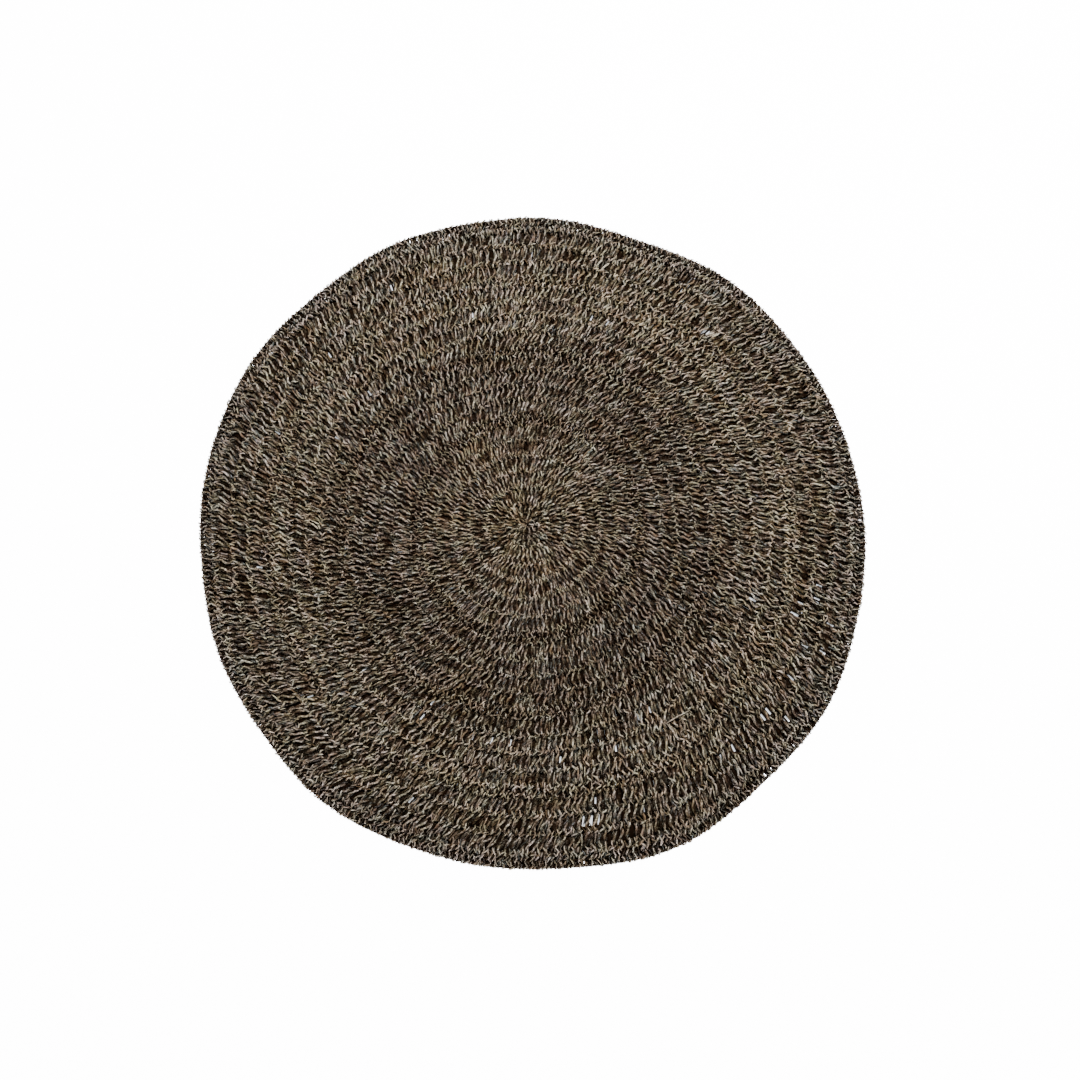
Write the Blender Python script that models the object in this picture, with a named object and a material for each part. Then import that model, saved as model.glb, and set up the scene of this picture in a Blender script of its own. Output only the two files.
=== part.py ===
"""A round rug, crocheted in one piece from seagrass cord, lying flat on its underside.

The cloth is one solid: a flat underside, an upper side with a low ridge where two rounds of
stitches meet and a trough along the middle of each round, a slightly uneven rim, and the gaps
between stitches that are open to the floor. Lengths are in metres, angles in degrees. Bearings
run counter-clockwise from +X as seen from above, about the centre of the crochet.
"""

from math import cos, degrees, pi, radians, sin
from typing import NamedTuple

import bmesh
import bpy
from mathutils import Vector

# Size of the rug
RUG_RADIUS = 0.750
RIDGE_HEIGHT = 0.0138
TROUGH_HEIGHT = 0.0096
CENTRE_HEIGHT = 0.0105

# Rounded rim: how far in from the outline each ring of it lies, and its height
RIM_TOP_INSET = 0.0045
RIM_TOP_HEIGHT = 0.0115
RIM_MIDDLE_HEIGHT = 0.0060
RIM_FOOT_INSET = 0.0030

# How finely the rug and its centre are divided
SEGMENTS = 72
CENTRE_RING_RADIUS = 0.012

# Stitches lean clockwise on their way out from the centre
STITCH_LEAN = 12.0

# Cutters reach this far past both sides of the cloth
CUTTER_REACH = 0.010

# Taupe mix of natural and black seagrass
SEAGRASS_COLOUR = (0.116, 0.094, 0.071, 1.0)
SEAGRASS_ROUGHNESS = 0.78


class Wave(NamedTuple):
    """One slow wave of the outline: how many times it goes round, its swing and its turn."""

    count: int
    swing: float
    turn: float


class Round(NamedTuple):
    """One round of stitches and the radius where it ends."""

    number: str
    outer_radius: float


class Shift(NamedTuple):
    """How far along X and Y a round of this radius lies off centre."""

    radius: float
    x: float
    y: float


class GapRun(NamedTuple):
    """Open gaps in one round, evenly spaced from a first bearing, and the size of each."""

    number: str
    bearing: float
    step: float
    count: int
    across: float
    along: float


OUTLINE_WAVES = (
    Wave(count=1, swing=0.0118, turn=11.0),
    Wave(count=2, swing=0.0063, turn=91.0),
    Wave(count=4, swing=0.0026, turn=-169.0),
    Wave(count=5, swing=0.0017, turn=-109.0),
    Wave(count=6, swing=0.0024, turn=81.0),
    Wave(count=7, swing=0.0015, turn=69.0),
    Wave(count=8, swing=0.0012, turn=-137.0),
    Wave(count=9, swing=0.0015, turn=-62.0),
    Wave(count=10, swing=0.0015, turn=-97.0),
    Wave(count=12, swing=0.0022, turn=59.0),
)

# Tall rounds are numbered, short tight rounds are lettered, and the last two are the border
ROUNDS = (
    Round("1", 0.050),
    Round("2", 0.091),
    Round("3", 0.127),
    Round("4", 0.165),
    Round("5", 0.202),
    Round("6", 0.238),
    Round("a", 0.262),
    Round("7", 0.299),
    Round("8", 0.334),
    Round("9", 0.370),
    Round("10", 0.404),
    Round("b", 0.425),
    Round("11", 0.463),
    Round("12", 0.501),
    Round("13", 0.539),
    Round("14", 0.574),
    Round("c", 0.596),
    Round("15", 0.634),
    Round("16", 0.674),
    Round("17", 0.714),
    Round("d", 0.732),
    Round("e", 0.750),
)

# The rounds inside the rim lie a little off centre
SHIFTS = (
    Shift(0.000, x=0.0010, y=-0.0055),
    Shift(0.170, x=-0.0004, y=-0.0100),
    Shift(0.335, x=0.0016, y=-0.0100),
    Shift(0.510, x=0.0031, y=-0.0054),
    Shift(0.645, x=0.0022, y=-0.0023),
    Shift(0.750, x=0.0, y=0.0),
)

GAP_RUNS = (
    GapRun("9", bearing=126.7, step=0.0, count=1, across=0.0042, along=0.014),
    GapRun("11", bearing=243.1, step=0.0, count=1, across=0.0046, along=0.015),
    GapRun("12", bearing=140.1, step=15.7, count=2, across=0.0044, along=0.015),
    GapRun("12", bearing=223.0, step=19.5, count=2, across=0.0046, along=0.016),
    GapRun("12", bearing=256.4, step=4.8, count=3, across=0.0052, along=0.017),
    GapRun("12", bearing=299.3, step=3.4, count=2, across=0.0046, along=0.015),
    GapRun("13", bearing=68.5, step=4.4, count=2, across=0.0046, along=0.015),
    GapRun("13", bearing=104.5, step=0.0, count=1, across=0.0042, along=0.014),
    GapRun("13", bearing=278.0, step=13.1, count=2, across=0.0050, along=0.016),
    GapRun("13", bearing=340.6, step=0.0, count=1, across=0.0056, along=0.018),
    GapRun("14", bearing=335.5, step=0.0, count=1, across=0.0048, along=0.016),
    GapRun("15", bearing=47.0, step=0.0, count=1, across=0.0046, along=0.016),
    GapRun("15", bearing=139.2, step=20.7, count=2, across=0.0046, along=0.016),
    GapRun("15", bearing=189.9, step=29.7, count=2, across=0.0046, along=0.015),
    GapRun("15", bearing=283.7, step=0.0, count=1, across=0.0046, along=0.015),
    GapRun("15", bearing=340.6, step=0.0, count=1, across=0.0058, along=0.020),
    GapRun("16", bearing=119.6, step=0.0, count=1, across=0.0048, along=0.018),
    GapRun("16", bearing=234.8, step=13.2, count=2, across=0.0050, along=0.017),
    GapRun("16", bearing=280.7, step=1.3, count=3, across=0.0080, along=0.024),
    GapRun("16", bearing=292.0, step=0.0, count=1, across=0.0050, along=0.016),
    GapRun("16", bearing=309.0, step=2.8, count=2, across=0.0052, along=0.018),
    GapRun("16", bearing=319.8, step=1.5, count=2, across=0.0056, along=0.018),
    GapRun("16", bearing=328.9, step=6.6, count=2, across=0.0056, along=0.019),
    GapRun("16", bearing=344.8, step=2.6, count=2, across=0.0046, along=0.015),
    GapRun("17", bearing=322.3, step=13.4, count=2, across=0.0048, along=0.016),
    GapRun("17", bearing=340.9, step=0.0, count=1, across=0.0050, along=0.017),
)


def outline_radius(bearing):
    """Distance from the centre of the crochet to the outline."""
    swings = (w.swing * cos(radians(w.count * bearing + w.turn)) for w in OUTLINE_WAVES)
    return RUG_RADIUS + sum(swings)


def round_shift(radius):
    """How far a round lies off centre, between the two shifts that are known on either side."""
    for inner, outer in zip(SHIFTS, SHIFTS[1:]):
        if radius <= outer.radius:
            share = (radius - inner.radius) / (outer.radius - inner.radius)
            x = inner.x + (outer.x - inner.x) * share
            y = inner.y + (outer.y - inner.y) * share
            return Vector((x, y, 0.0))
    return Vector((0.0, 0.0, 0.0))


def uncentred_point(radius, bearing):
    """A point of a round, which follows the outline more closely the nearer it lies to it."""
    share = radius / RUG_RADIUS
    stretch = 1.0 + (outline_radius(bearing) / RUG_RADIUS - 1.0) * share**2
    turn = radians(bearing)
    outward = Vector((cos(turn), sin(turn), 0.0))
    return outward * radius * stretch + round_shift(radius)


def bearings():
    """The bearings that divide the rug into its segments."""
    return [360.0 * step / SEGMENTS for step in range(SEGMENTS)]


def crochet_centre():
    """Where the centre of the crochet lies, with the middle of the rug's box at the origin."""
    points = [uncentred_point(RUG_RADIUS, bearing) for bearing in bearings()]
    middle_x = (max(p.x for p in points) + min(p.x for p in points)) / 2.0
    middle_y = (max(p.y for p in points) + min(p.y for p in points)) / 2.0
    return Vector((-middle_x, -middle_y, 0.0))


def profile():
    """Radius and height of each ring of the upper side, from the centre to the rim."""
    rings = [(CENTRE_RING_RADIUS, RIDGE_HEIGHT)]
    inner = CENTRE_RING_RADIUS
    for stitch_round in ROUNDS[:-1]:
        rings.append(((inner + stitch_round.outer_radius) / 2.0, TROUGH_HEIGHT))
        rings.append((stitch_round.outer_radius, RIDGE_HEIGHT))
        inner = stitch_round.outer_radius
    rings.append((RUG_RADIUS - RIM_TOP_INSET, RIM_TOP_HEIGHT))
    rings.append((RUG_RADIUS, RIM_MIDDLE_HEIGHT))
    rings.append((RUG_RADIUS - RIM_FOOT_INSET, 0.0))
    return rings


def add_ring(mesh, centre, radius, height):
    """Add the vertices of one ring."""
    lift = Vector((0.0, 0.0, height))
    return [mesh.verts.new(centre + uncentred_point(radius, b) + lift) for b in bearings()]


def add_band(mesh, inner, outer):
    """Join two neighbouring rings with faces that look up and out."""
    for step in range(SEGMENTS):
        after = (step + 1) % SEGMENTS
        mesh.faces.new((inner[step], outer[step], outer[after]))
        mesh.faces.new((inner[step], outer[after], inner[after]))


def rug_mesh(centre):
    """The whole cloth as one closed body, before its gaps are cut."""
    mesh = bmesh.new()
    rings = [add_ring(mesh, centre, radius, height) for radius, height in profile()]
    top = mesh.verts.new(centre + round_shift(0.0) + Vector((0.0, 0.0, CENTRE_HEIGHT)))
    for step in range(SEGMENTS):
        mesh.faces.new((top, rings[0][step], rings[0][(step + 1) % SEGMENTS]))
    for inner, outer in zip(rings, rings[1:]):
        add_band(mesh, inner, outer)
    mesh.faces.new(list(reversed(rings[-1])))
    data = bpy.data.meshes.new("rug")
    mesh.to_mesh(data)
    mesh.free()
    data.shade_smooth()
    data.set_sharp_from_angle(angle=radians(40.0))
    return data


def middle_radius(number):
    """The radius along the middle of a round."""
    edges = [CENTRE_RING_RADIUS] + [stitch_round.outer_radius for stitch_round in ROUNDS]
    place = [stitch_round.number for stitch_round in ROUNDS].index(number)
    return (edges[place] + edges[place + 1]) / 2.0


def gap_point(radius, bearing):
    """The middle of a gap, which keeps its own bearing although its round lies off centre."""
    shift = round_shift(radius)
    turn = radians(bearing)
    back = (shift.x * sin(turn) - shift.y * cos(turn)) / radius
    return uncentred_point(radius, degrees(turn + back))


def add_gap_cutter(mesh, centre, radius, bearing, across, along):
    """Add one upright prism in the shape of a gap: a long hexagon, pointed at both ends."""
    middle = centre + gap_point(radius, bearing)
    lean = radians(bearing - STITCH_LEAN)
    outward = Vector((cos(lean), sin(lean), 0.0))
    sideways = Vector((-sin(lean), cos(lean), 0.0))
    corners = [
        middle + outward * (along / 2.0) * cos(turn) + sideways * (across / 2.0) * side
        for turn, side in ((0.0, 0.0), (pi / 3, 1.0), (2 * pi / 3, 1.0),
                           (pi, 0.0), (4 * pi / 3, -1.0), (5 * pi / 3, -1.0))
    ]
    low = Vector((0.0, 0.0, -CUTTER_REACH))
    high = Vector((0.0, 0.0, RIDGE_HEIGHT + CUTTER_REACH))
    foot = [mesh.verts.new(corner + low) for corner in corners]
    head = [mesh.verts.new(corner + high) for corner in corners]
    mesh.faces.new(head)
    mesh.faces.new(list(reversed(foot)))
    for place in range(len(corners)):
        after = (place + 1) % len(corners)
        mesh.faces.new((foot[place], foot[after], head[after], head[place]))


def gap_cutters(centre):
    """All the prisms that cut the open gaps, as one hidden guide."""
    mesh = bmesh.new()
    for run in GAP_RUNS:
        for place in range(run.count):
            bearing = run.bearing + place * run.step
            radius = middle_radius(run.number)
            add_gap_cutter(mesh, centre, radius, bearing, run.across, run.along)
    data = bpy.data.meshes.new("gap_cutters")
    mesh.to_mesh(data)
    mesh.free()
    cutters = bpy.data.objects.new("gap_cutters", data)
    cutters.hide_render = True
    cutters.display_type = "WIRE"
    bpy.context.scene.collection.objects.link(cutters)
    return cutters


def seagrass_material():
    """Plain finish in the mean colour of the mixed cord."""
    material = bpy.data.materials.new("seagrass")
    material.use_nodes = True
    shader = material.node_tree.nodes["Principled BSDF"]
    shader.inputs["Base Color"].default_value = SEAGRASS_COLOUR
    shader.inputs["Roughness"].default_value = SEAGRASS_ROUGHNESS
    shader.inputs["Metallic"].default_value = 0.0
    return material


def build_rug():
    """The rug, with its gaps cut through."""
    centre = crochet_centre()
    rug = bpy.data.objects.new("rug", rug_mesh(centre))
    rug.data.materials.append(seagrass_material())
    bpy.context.scene.collection.objects.link(rug)
    cut = rug.modifiers.new("gaps", "BOOLEAN")
    cut.operation = "DIFFERENCE"
    cut.solver = "EXACT"
    cut.object = gap_cutters(centre)
    return rug


for old in list(bpy.data.objects):
    bpy.data.objects.remove(old, do_unlink=True)

build_rug()
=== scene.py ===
"""A round rug crocheted in rounds from two-ply seagrass cord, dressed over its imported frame.

One ply of the cord is natural seagrass and the other is black. The script works the rounds from the
centre out as the maker does, lays the rug on a pale floor under soft light, and looks down on it.
Lengths are in metres. Bearings run counter-clockwise from +X as seen from above, about the centre
of the crochet. Arrays hold one row for each stitch and one column for each section of the cord.
"""

import logging
from dataclasses import dataclass, replace
from enum import Enum
from math import atan, cos, degrees, exp, pi, radians, sin
from typing import Any, Iterable, Sequence

import bpy
import numpy as np
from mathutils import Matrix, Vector


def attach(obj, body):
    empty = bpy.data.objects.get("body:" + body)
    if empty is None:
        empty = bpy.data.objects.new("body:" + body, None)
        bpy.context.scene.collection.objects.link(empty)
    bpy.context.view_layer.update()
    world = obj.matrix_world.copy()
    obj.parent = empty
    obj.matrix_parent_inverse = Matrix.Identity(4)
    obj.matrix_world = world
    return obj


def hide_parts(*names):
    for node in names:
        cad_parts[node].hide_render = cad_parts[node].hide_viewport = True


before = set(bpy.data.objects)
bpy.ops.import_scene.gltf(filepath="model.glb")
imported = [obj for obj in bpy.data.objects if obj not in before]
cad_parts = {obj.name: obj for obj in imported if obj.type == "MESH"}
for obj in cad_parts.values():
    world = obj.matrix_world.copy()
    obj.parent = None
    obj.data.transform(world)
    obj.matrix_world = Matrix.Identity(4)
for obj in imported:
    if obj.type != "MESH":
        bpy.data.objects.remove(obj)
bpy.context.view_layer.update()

BODY = "root"
NODE = "rug"
SEED = 2846
FULL_TURN = 2.0 * pi

Array = np.ndarray
Colour = tuple[float, float, float]
Cast = tuple[float, float, float, float]
log = logging.getLogger("rug")


class Chance(Enum):
    """The sorts of chance. The value of each sets its draws apart from those of the others."""

    LEGS = 1
    CORD = 3
    BACKING = 7
    HEADS = 11
    RINGS = 13
    SECONDS = 17
    DRIFT = 19
    PLACES = 23

    def source(self, number: int) -> np.random.Generator:
        """A fresh source of this sort of chance for one numbered thing."""
        return np.random.default_rng(SEED * self.value + number)


@dataclass(frozen=True)
class Wave:
    """One slow wave of the outline.

    Args:
        count: how many times it goes round.
        swing: how far it moves the outline, in metres.
        turn: where it starts, in degrees.
    """

    count: int
    swing: float
    turn: float


@dataclass(frozen=True)
class Cloth:
    """Lays the even rounds out as the rug lies, which is slightly out of round.

    Args:
        radius: the rug's mean radius.
        segments: how many points of the outline its box is found from.
        waves: the waves of its outline.
        shift_radii: radii at which it is known how far the rounds lie off centre.
        shifts_x: how far they lie off centre along x there.
        shifts_y: the same along y.
    """

    radius: float = 0.750
    segments: int = 72
    waves: tuple[Wave, ...] = (
        Wave(1, 0.0118, 11.0),
        Wave(2, 0.0063, 91.0),
        Wave(4, 0.0026, -169.0),
        Wave(5, 0.0017, -109.0),
        Wave(6, 0.0024, 81.0),
        Wave(7, 0.0015, 69.0),
        Wave(8, 0.0012, -137.0),
        Wave(9, 0.0015, -62.0),
        Wave(10, 0.0015, -97.0),
        Wave(12, 0.0022, 59.0),
    )
    shift_radii: tuple[float, ...] = (0.0, 0.170, 0.335, 0.510, 0.645, 0.750)
    shifts_x: tuple[float, ...] = (0.0010, -0.0004, 0.0016, 0.0031, 0.0022, 0.0)
    shifts_y: tuple[float, ...] = (-0.0055, -0.0100, -0.0100, -0.0054, -0.0023, 0.0)

    def outline(self, bearing: Array) -> Array:
        """Distance from the centre of the crochet to the outline.

        Args:
            bearing: bearings in radians.

        Returns:
            The distance at each bearing.
        """
        swings = [w.swing * np.cos(w.count * bearing + radians(w.turn)) for w in self.waves]
        return self.radius + np.sum(swings, axis=0)

    def shift(self, radius: Array) -> tuple[Array, Array]:
        """How far the rounds inside the rim lie off centre.

        Args:
            radius: radii in the even rounds.

        Returns:
            The shift along x and y at each radius.
        """
        return (np.interp(radius, self.shift_radii, self.shifts_x),
                np.interp(radius, self.shift_radii, self.shifts_y))

    def uncentred(self, radius: Array, bearing: Array) -> tuple[Array, Array]:
        """Where points of the even rounds come to lie about the centre of the crochet.

        Args:
            radius: radii in the even rounds.
            bearing: bearings in radians.

        Returns:
            The points' x and y.
        """
        share = radius / self.radius
        stretch = 1.0 + (self.outline(bearing) / self.radius - 1.0) * share**2
        x, y = self.shift(radius)
        return radius * stretch * np.cos(bearing) + x, radius * stretch * np.sin(bearing) + y

    def centre(self) -> tuple[float, float]:
        """The centre of the crochet, with the middle of the rug's box at the origin."""
        bearing = np.arange(self.segments) * FULL_TURN / self.segments
        x, y = self.uncentred(np.full(self.segments, self.radius), bearing)
        return -float(x.max() + x.min()) / 2.0, -float(y.max() + y.min()) / 2.0

    def place(self, radius: Array, bearing: Array, height: Array) -> Array:
        """Lay points of the even rounds out in the frame.

        Args:
            radius: radii in the even rounds.
            bearing: bearings in radians.
            height: heights over the floor.

        Returns:
            The points, with x, y and z along a new last axis.
        """
        x, y = self.uncentred(radius, bearing)
        middle = self.centre()
        return np.stack((x + middle[0], y + middle[1], height), axis=-1)


class RoundKind(Enum):
    """How a round is worked."""

    ROSETTE = "rosette"
    TALL = "tall"
    SHORT = "short"
    BORDER = "border"


@dataclass(frozen=True)
class StitchForm:
    """The sizes of one kind of stitch.

    Args:
        crowding: how much closer the stitches stand than usual at their radius, as a share.
        lean: how much of the cloth's lean they take.
        heads: the rows of stitch heads: where they lie, as shares of the round's width, and
            which way they slant, -1 or 1.
        head_shift: how far the rows move apart, inward for -1 and outward for 1.
        shade: how much lighter its strands are.
        leg_sections: sections of the cord along each leg. 0 leaves the legs out.
        turn_sections: sections of the cord along each turn.
        under: how far the inner turns reach in past the edge of the round before.
        over: how far the outer turns reach out past the edge of the round after.
        inner_height: height of the cord's middle at the inner end of the legs.
        post_height: the same halfway along the legs.
        outer_height: the same at the outer end of the legs.
        dive: how far the turns drop below the ends of the legs.
        stray: how far the turns and legs stray from their places.
    """

    crowding: float
    lean: float
    heads: tuple[tuple[float, float], ...]
    head_shift: float = 0.0031
    shade: float = 0.0
    leg_sections: int = 0
    turn_sections: int = 0
    under: float = 0.0
    over: float = 0.0
    inner_height: float = 0.0
    post_height: float = 0.0
    outer_height: float = 0.0
    dive: float = 0.0
    stray: float = 0.0


FORMS = {
    RoundKind.ROSETTE: StitchForm(
        crowding=0.94, lean=1.0, heads=(), leg_sections=6, turn_sections=3, over=0.004,
        inner_height=0.0056, post_height=0.0072, outer_height=0.0082, dive=0.0030, stray=0.0009,
    ),
    RoundKind.TALL: StitchForm(
        crowding=1.0, lean=1.0, heads=((1.0, -1.0), (1.0, 1.0)), leg_sections=5, turn_sections=2,
        under=0.004, over=0.004, inner_height=0.0064, post_height=0.0056, outer_height=0.0066,
        dive=0.0016, stray=0.0018,
    ),
    RoundKind.SHORT: StitchForm(
        crowding=0.96, lean=0.7, heads=((0.52, -1.0), (0.52, 1.0), (1.0, -1.0), (1.0, 1.0)),
        shade=-0.13,
    ),
    RoundKind.BORDER: StitchForm(
        crowding=1.0, lean=0.4, heads=((0.25, -1.0), (0.74, 1.0)), head_shift=0.0, shade=-0.02,
    ),
}


@dataclass(frozen=True)
class Gap:
    """Gaps between legs of one round that are open to the floor.

    Args:
        number: the round.
        bearing: bearing of the first gap, in degrees.
        step: degrees from one gap to the next.
        count: how many there are.
        across: width of each gap.
        along: length of each gap.
    """

    number: str
    bearing: float
    step: float
    count: int
    across: float
    along: float


GAPS = (
    Gap("9", 126.7, 0.0, 1, 0.0042, 0.014),
    Gap("11", 243.1, 0.0, 1, 0.0046, 0.015),
    Gap("12", 140.1, 15.7, 2, 0.0044, 0.015),
    Gap("12", 223.0, 19.5, 2, 0.0046, 0.016),
    Gap("12", 256.4, 4.8, 3, 0.0052, 0.017),
    Gap("12", 299.3, 3.4, 2, 0.0046, 0.015),
    Gap("13", 68.5, 4.4, 2, 0.0046, 0.015),
    Gap("13", 104.5, 0.0, 1, 0.0042, 0.014),
    Gap("13", 278.0, 13.1, 2, 0.0050, 0.016),
    Gap("13", 340.6, 0.0, 1, 0.0056, 0.018),
    Gap("14", 335.5, 0.0, 1, 0.0048, 0.016),
    Gap("15", 47.0, 0.0, 1, 0.0046, 0.016),
    Gap("15", 139.2, 20.7, 2, 0.0046, 0.016),
    Gap("15", 189.9, 29.7, 2, 0.0046, 0.015),
    Gap("15", 283.7, 0.0, 1, 0.0046, 0.015),
    Gap("15", 340.6, 0.0, 1, 0.0058, 0.020),
    Gap("16", 119.6, 0.0, 1, 0.0048, 0.018),
    Gap("16", 234.8, 13.2, 2, 0.0050, 0.017),
    Gap("16", 280.7, 1.3, 3, 0.0080, 0.024),
    Gap("16", 292.0, 0.0, 1, 0.0050, 0.016),
    Gap("16", 309.0, 2.8, 2, 0.0052, 0.018),
    Gap("16", 319.8, 1.5, 2, 0.0056, 0.018),
    Gap("16", 328.9, 6.6, 2, 0.0056, 0.019),
    Gap("16", 344.8, 2.6, 2, 0.0046, 0.015),
    Gap("17", 322.3, 13.4, 2, 0.0048, 0.016),
    Gap("17", 340.9, 0.0, 1, 0.0050, 0.017),
)


@dataclass(frozen=True)
class Edge:
    """Where one round ends and how it is worked.

    Args:
        number: the round's name: tall rounds are numbered and short ones lettered.
        outer: its outer radius.
        kind: how it is worked.
    """

    number: str
    outer: float
    kind: RoundKind = RoundKind.TALL


# Radius of the hole in the rosette, height of the stitch heads, how much lower they are at the rim
# and over which radii, and how far inside the outline the heads and the strands behind them end
FIRST_RADIUS = 0.002
HEAD_HEIGHT = 0.0114
HEAD_RIM_DROP = 0.0036
HEAD_RIM_STEP = (0.725, 0.748)
RIM_INSET = 0.0016
BACK_INSET = 0.0026
EDGES = (
    Edge("0", 0.025, RoundKind.ROSETTE),
    Edge("1", 0.050, RoundKind.ROSETTE),
    Edge("2", 0.091),
    Edge("3", 0.127),
    Edge("4", 0.165),
    Edge("5", 0.202),
    Edge("6", 0.238),
    Edge("a", 0.262, RoundKind.SHORT),
    Edge("7", 0.299),
    Edge("8", 0.334),
    Edge("9", 0.370),
    Edge("10", 0.404),
    Edge("b", 0.425, RoundKind.SHORT),
    Edge("11", 0.463),
    Edge("12", 0.501),
    Edge("13", 0.539),
    Edge("14", 0.574),
    Edge("c", 0.596, RoundKind.SHORT),
    Edge("15", 0.634),
    Edge("16", 0.674),
    Edge("17", 0.714),
    Edge("d", 0.732, RoundKind.BORDER),
    Edge("e", 0.750, RoundKind.BORDER),
)


@dataclass(frozen=True)
class Patch:
    """A place where the cord is lighter or darker than usual.

    Args:
        x: its middle in the frame.
        y: the same.
        size: how wide it is.
        tone: how much lighter it is.
        tint: how much yellower it is.
    """

    x: float
    y: float
    size: float
    tone: float
    tint: float = 0.0


PATCHES = (
    Patch(0.148, 0.468, 0.035, 0.08),
    Patch(0.185, 0.595, 0.040, 0.06),
    Patch(-0.040, 0.521, 0.070, 0.05),
    Patch(-0.038, -0.071, 0.030, 0.06, 0.3),
    Patch(0.560, -0.020, 0.080, 0.05, 0.1),
    Patch(-0.300, -0.205, 0.050, -0.08),
    Patch(-0.138, -0.376, 0.024, -0.14),
    Patch(-0.073, -0.397, 0.024, -0.14),
    Patch(0.257, 0.217, 0.045, -0.06),
    Patch(0.200, -0.240, 0.055, -0.05),
    Patch(-0.723, -0.032, 0.045, -0.06),
    Patch(0.107, 0.032, 0.008, 0.22, 0.8),
    Patch(0.141, 0.046, 0.010, 0.20, 0.8),
    Patch(0.073, -0.102, 0.010, 0.14, 0.6),
)

# How the work changes from the centre out: a row of radii and what goes with each of them. The lean
# of the legs in degrees, the spacing of legs and heads, the length of one turn of the plies, how
# much lighter the heads are than their round, and how much lighter natural heads are than black.
# The border has a spacing of its own
LEAN_RADII = (0.065, 0.15, 0.25, 0.36, 0.48, 0.59, 0.68)
LEAN_ANGLES = (-8.0, -1.0, 8.5, 10.5, 10.5, 12.0, 13.0)
SPACING_RADII = (0.10, 0.18, 0.22, 0.32, 0.39, 0.48, 0.56, 0.65)
LEG_SPACINGS = (0.0089, 0.0092, 0.0099, 0.0115, 0.0126, 0.0133, 0.0137, 0.0147)
LAY_RADII = (0.05, 0.11, 0.20)
LAYS = (0.024, 0.032, 0.042)
HEAD_RADII = (0.05, 0.16, 0.20, 0.30, 0.37, 0.46, 0.54, 0.65, 0.725, 0.745)
HEAD_SHADES = (-0.04, -0.04, -0.10, -0.12, -0.09, -0.05, -0.05, -0.01, -0.05, 0.04)
SPLIT_RADII = (0.20, 0.40, 0.50, 0.60, 0.70)
SPLITS = (0.22, 0.20, 0.17, 0.13, 0.08)
BORDER_SPACING = 0.0122

# How far the stitches drift along the round, how far apart the places are between which they do,
# how many times the usual drift they may take, and how far from a gap they no longer do
DRIFT = 0.0031
DRIFT_PLACES = 0.042
DRIFT_LIMIT = 1.6
DRIFT_CLEAR = 0.026

# How wide the gaps stand open as a share of their width, how far the middle of the cord keeps from
# their edges on both sides together, how near them it is moved, and where along them it closes in
OPENNESS = 0.75
GAP_CORD_ROOM = 0.0057
GAP_REACH = 0.0085
GAP_ENDS = 0.52

# Slow changes along the cord: how strong each is and about how many sections stay alike
TWIST_DRIFTS = ((0.9, 24.0), (0.5, 6.0))
TONE_DRIFTS = ((0.08, 0.9), (0.09, 7.0), (0.03, 60.0))
TINT_DRIFTS = ((0.20, 12.0), (0.12, 50.0))
THICKNESS_DRIFT = 0.06
THICKNESS_HOLD = 1.0
LOWEST_SKIN = 0.0003

# How many times its usual size a random change may be, and the same for those held more closely
WIDE_LIMIT = 2.2
CLOSE_LIMIT = 2.0

# The four corners of a flat strand's section: how far to the side and how far up each lies, and how
# much lighter each is painted: painted light on the top and painted shade on the sides and bottom
CORNERS = ((-1.0, 0.0), (0.0, -1.0), (1.0, 0.0), (0.0, 1.0))
CORNER_PAINTED_LIGHT = (-0.5, -1.0, -0.5, 1.0)

# The fibre map, in metres: how far round the cord and along one side of a flat strand it counts,
# and how far apart cords, strands and rows of strands lie on it so that no two look alike
CORD_GIRTH = 0.020
STRAND_SIDE = 0.003
CORD_APART = 7.31
STRAND_APART = 0.0374
ROW_APART = 0.0622

# Where the seeds of each sort of flat strand start, and how much lighter the tops of strands are
# painted: painted light on top and painted shade on the sides
EDGE_SEEDS = 30
HEAD_SEEDS = 40
LOOSE_SEED = 50
SECOND_SEEDS = 200
STRAND_PAINTED_LIGHT = 0.12

# The bake map: how much wider than high its cells are, and the margin on both sides of each
CELL_SHAPE = 4.6
CELL_MARGIN_X = 0.015
CELL_MARGIN_Y = 0.04


@dataclass(frozen=True)
class Swell:
    """A smooth rise or fall from round to round.

    Args:
        radius: where it is strongest.
        reach: how far it reaches either way.
        size: how strong it is there.
    """

    radius: float
    reach: float
    size: float

    def at(self, radius: float) -> float:
        """How strong it is at a radius."""
        return self.size * exp(-(((radius - self.radius) / self.reach) ** 2))


# How light and how warm the cord is from round to round, with a step at the rim
SHADES = (Swell(0.560, 0.090, 0.050), Swell(0.360, 0.095, -0.095), Swell(0.165, 0.070, -0.070))
RIM_SHADE = -0.02
RIM_SHADE_STEP = (0.68, 0.74)
WARMTHS = (Swell(0.0, 0.130, 0.26), Swell(0.330, 0.090, -0.20), Swell(0.560, 0.100, 0.10))
RIM_WARMTH = -0.30
RIM_WARMTH_STEP = (0.66, 0.73)

# Between which radii the work grows loose, and how many more sections a leg has near the centre
LOOSE_STEP = (0.10, 0.50)
MORE_SECTIONS = 3
MORE_WITHIN = 0.21

# How the lean changes round the rug: by how many degrees, towards which bearing and at which radii,
# near the centre and far from it
NEAR_LEAN = 5.0
NEAR_BEARING = 110.0
NEAR_REACH = 0.35
FAR_LEAN = 7.0
FAR_BEARING = 230.0
FAR_STEP = (0.45, 0.70)


def wander(rng: np.random.Generator, count: int, hold: float) -> Array:
    """A closed row of random numbers that change smoothly.

    Args:
        rng: the seeded source of chance.
        count: how many numbers.
        hold: about how many neighbours stay alike.

    Returns:
        The numbers, with a mean of 0 and a spread of 1.
    """
    spectrum = np.fft.rfft(rng.normal(size=count))
    spectrum *= np.exp(-((np.fft.rfftfreq(count) * hold * 2.0) ** 2))
    spectrum[0] = 0.0
    row = np.fft.irfft(spectrum, n=count)
    return row / (row.std() + 1e-9)


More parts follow.
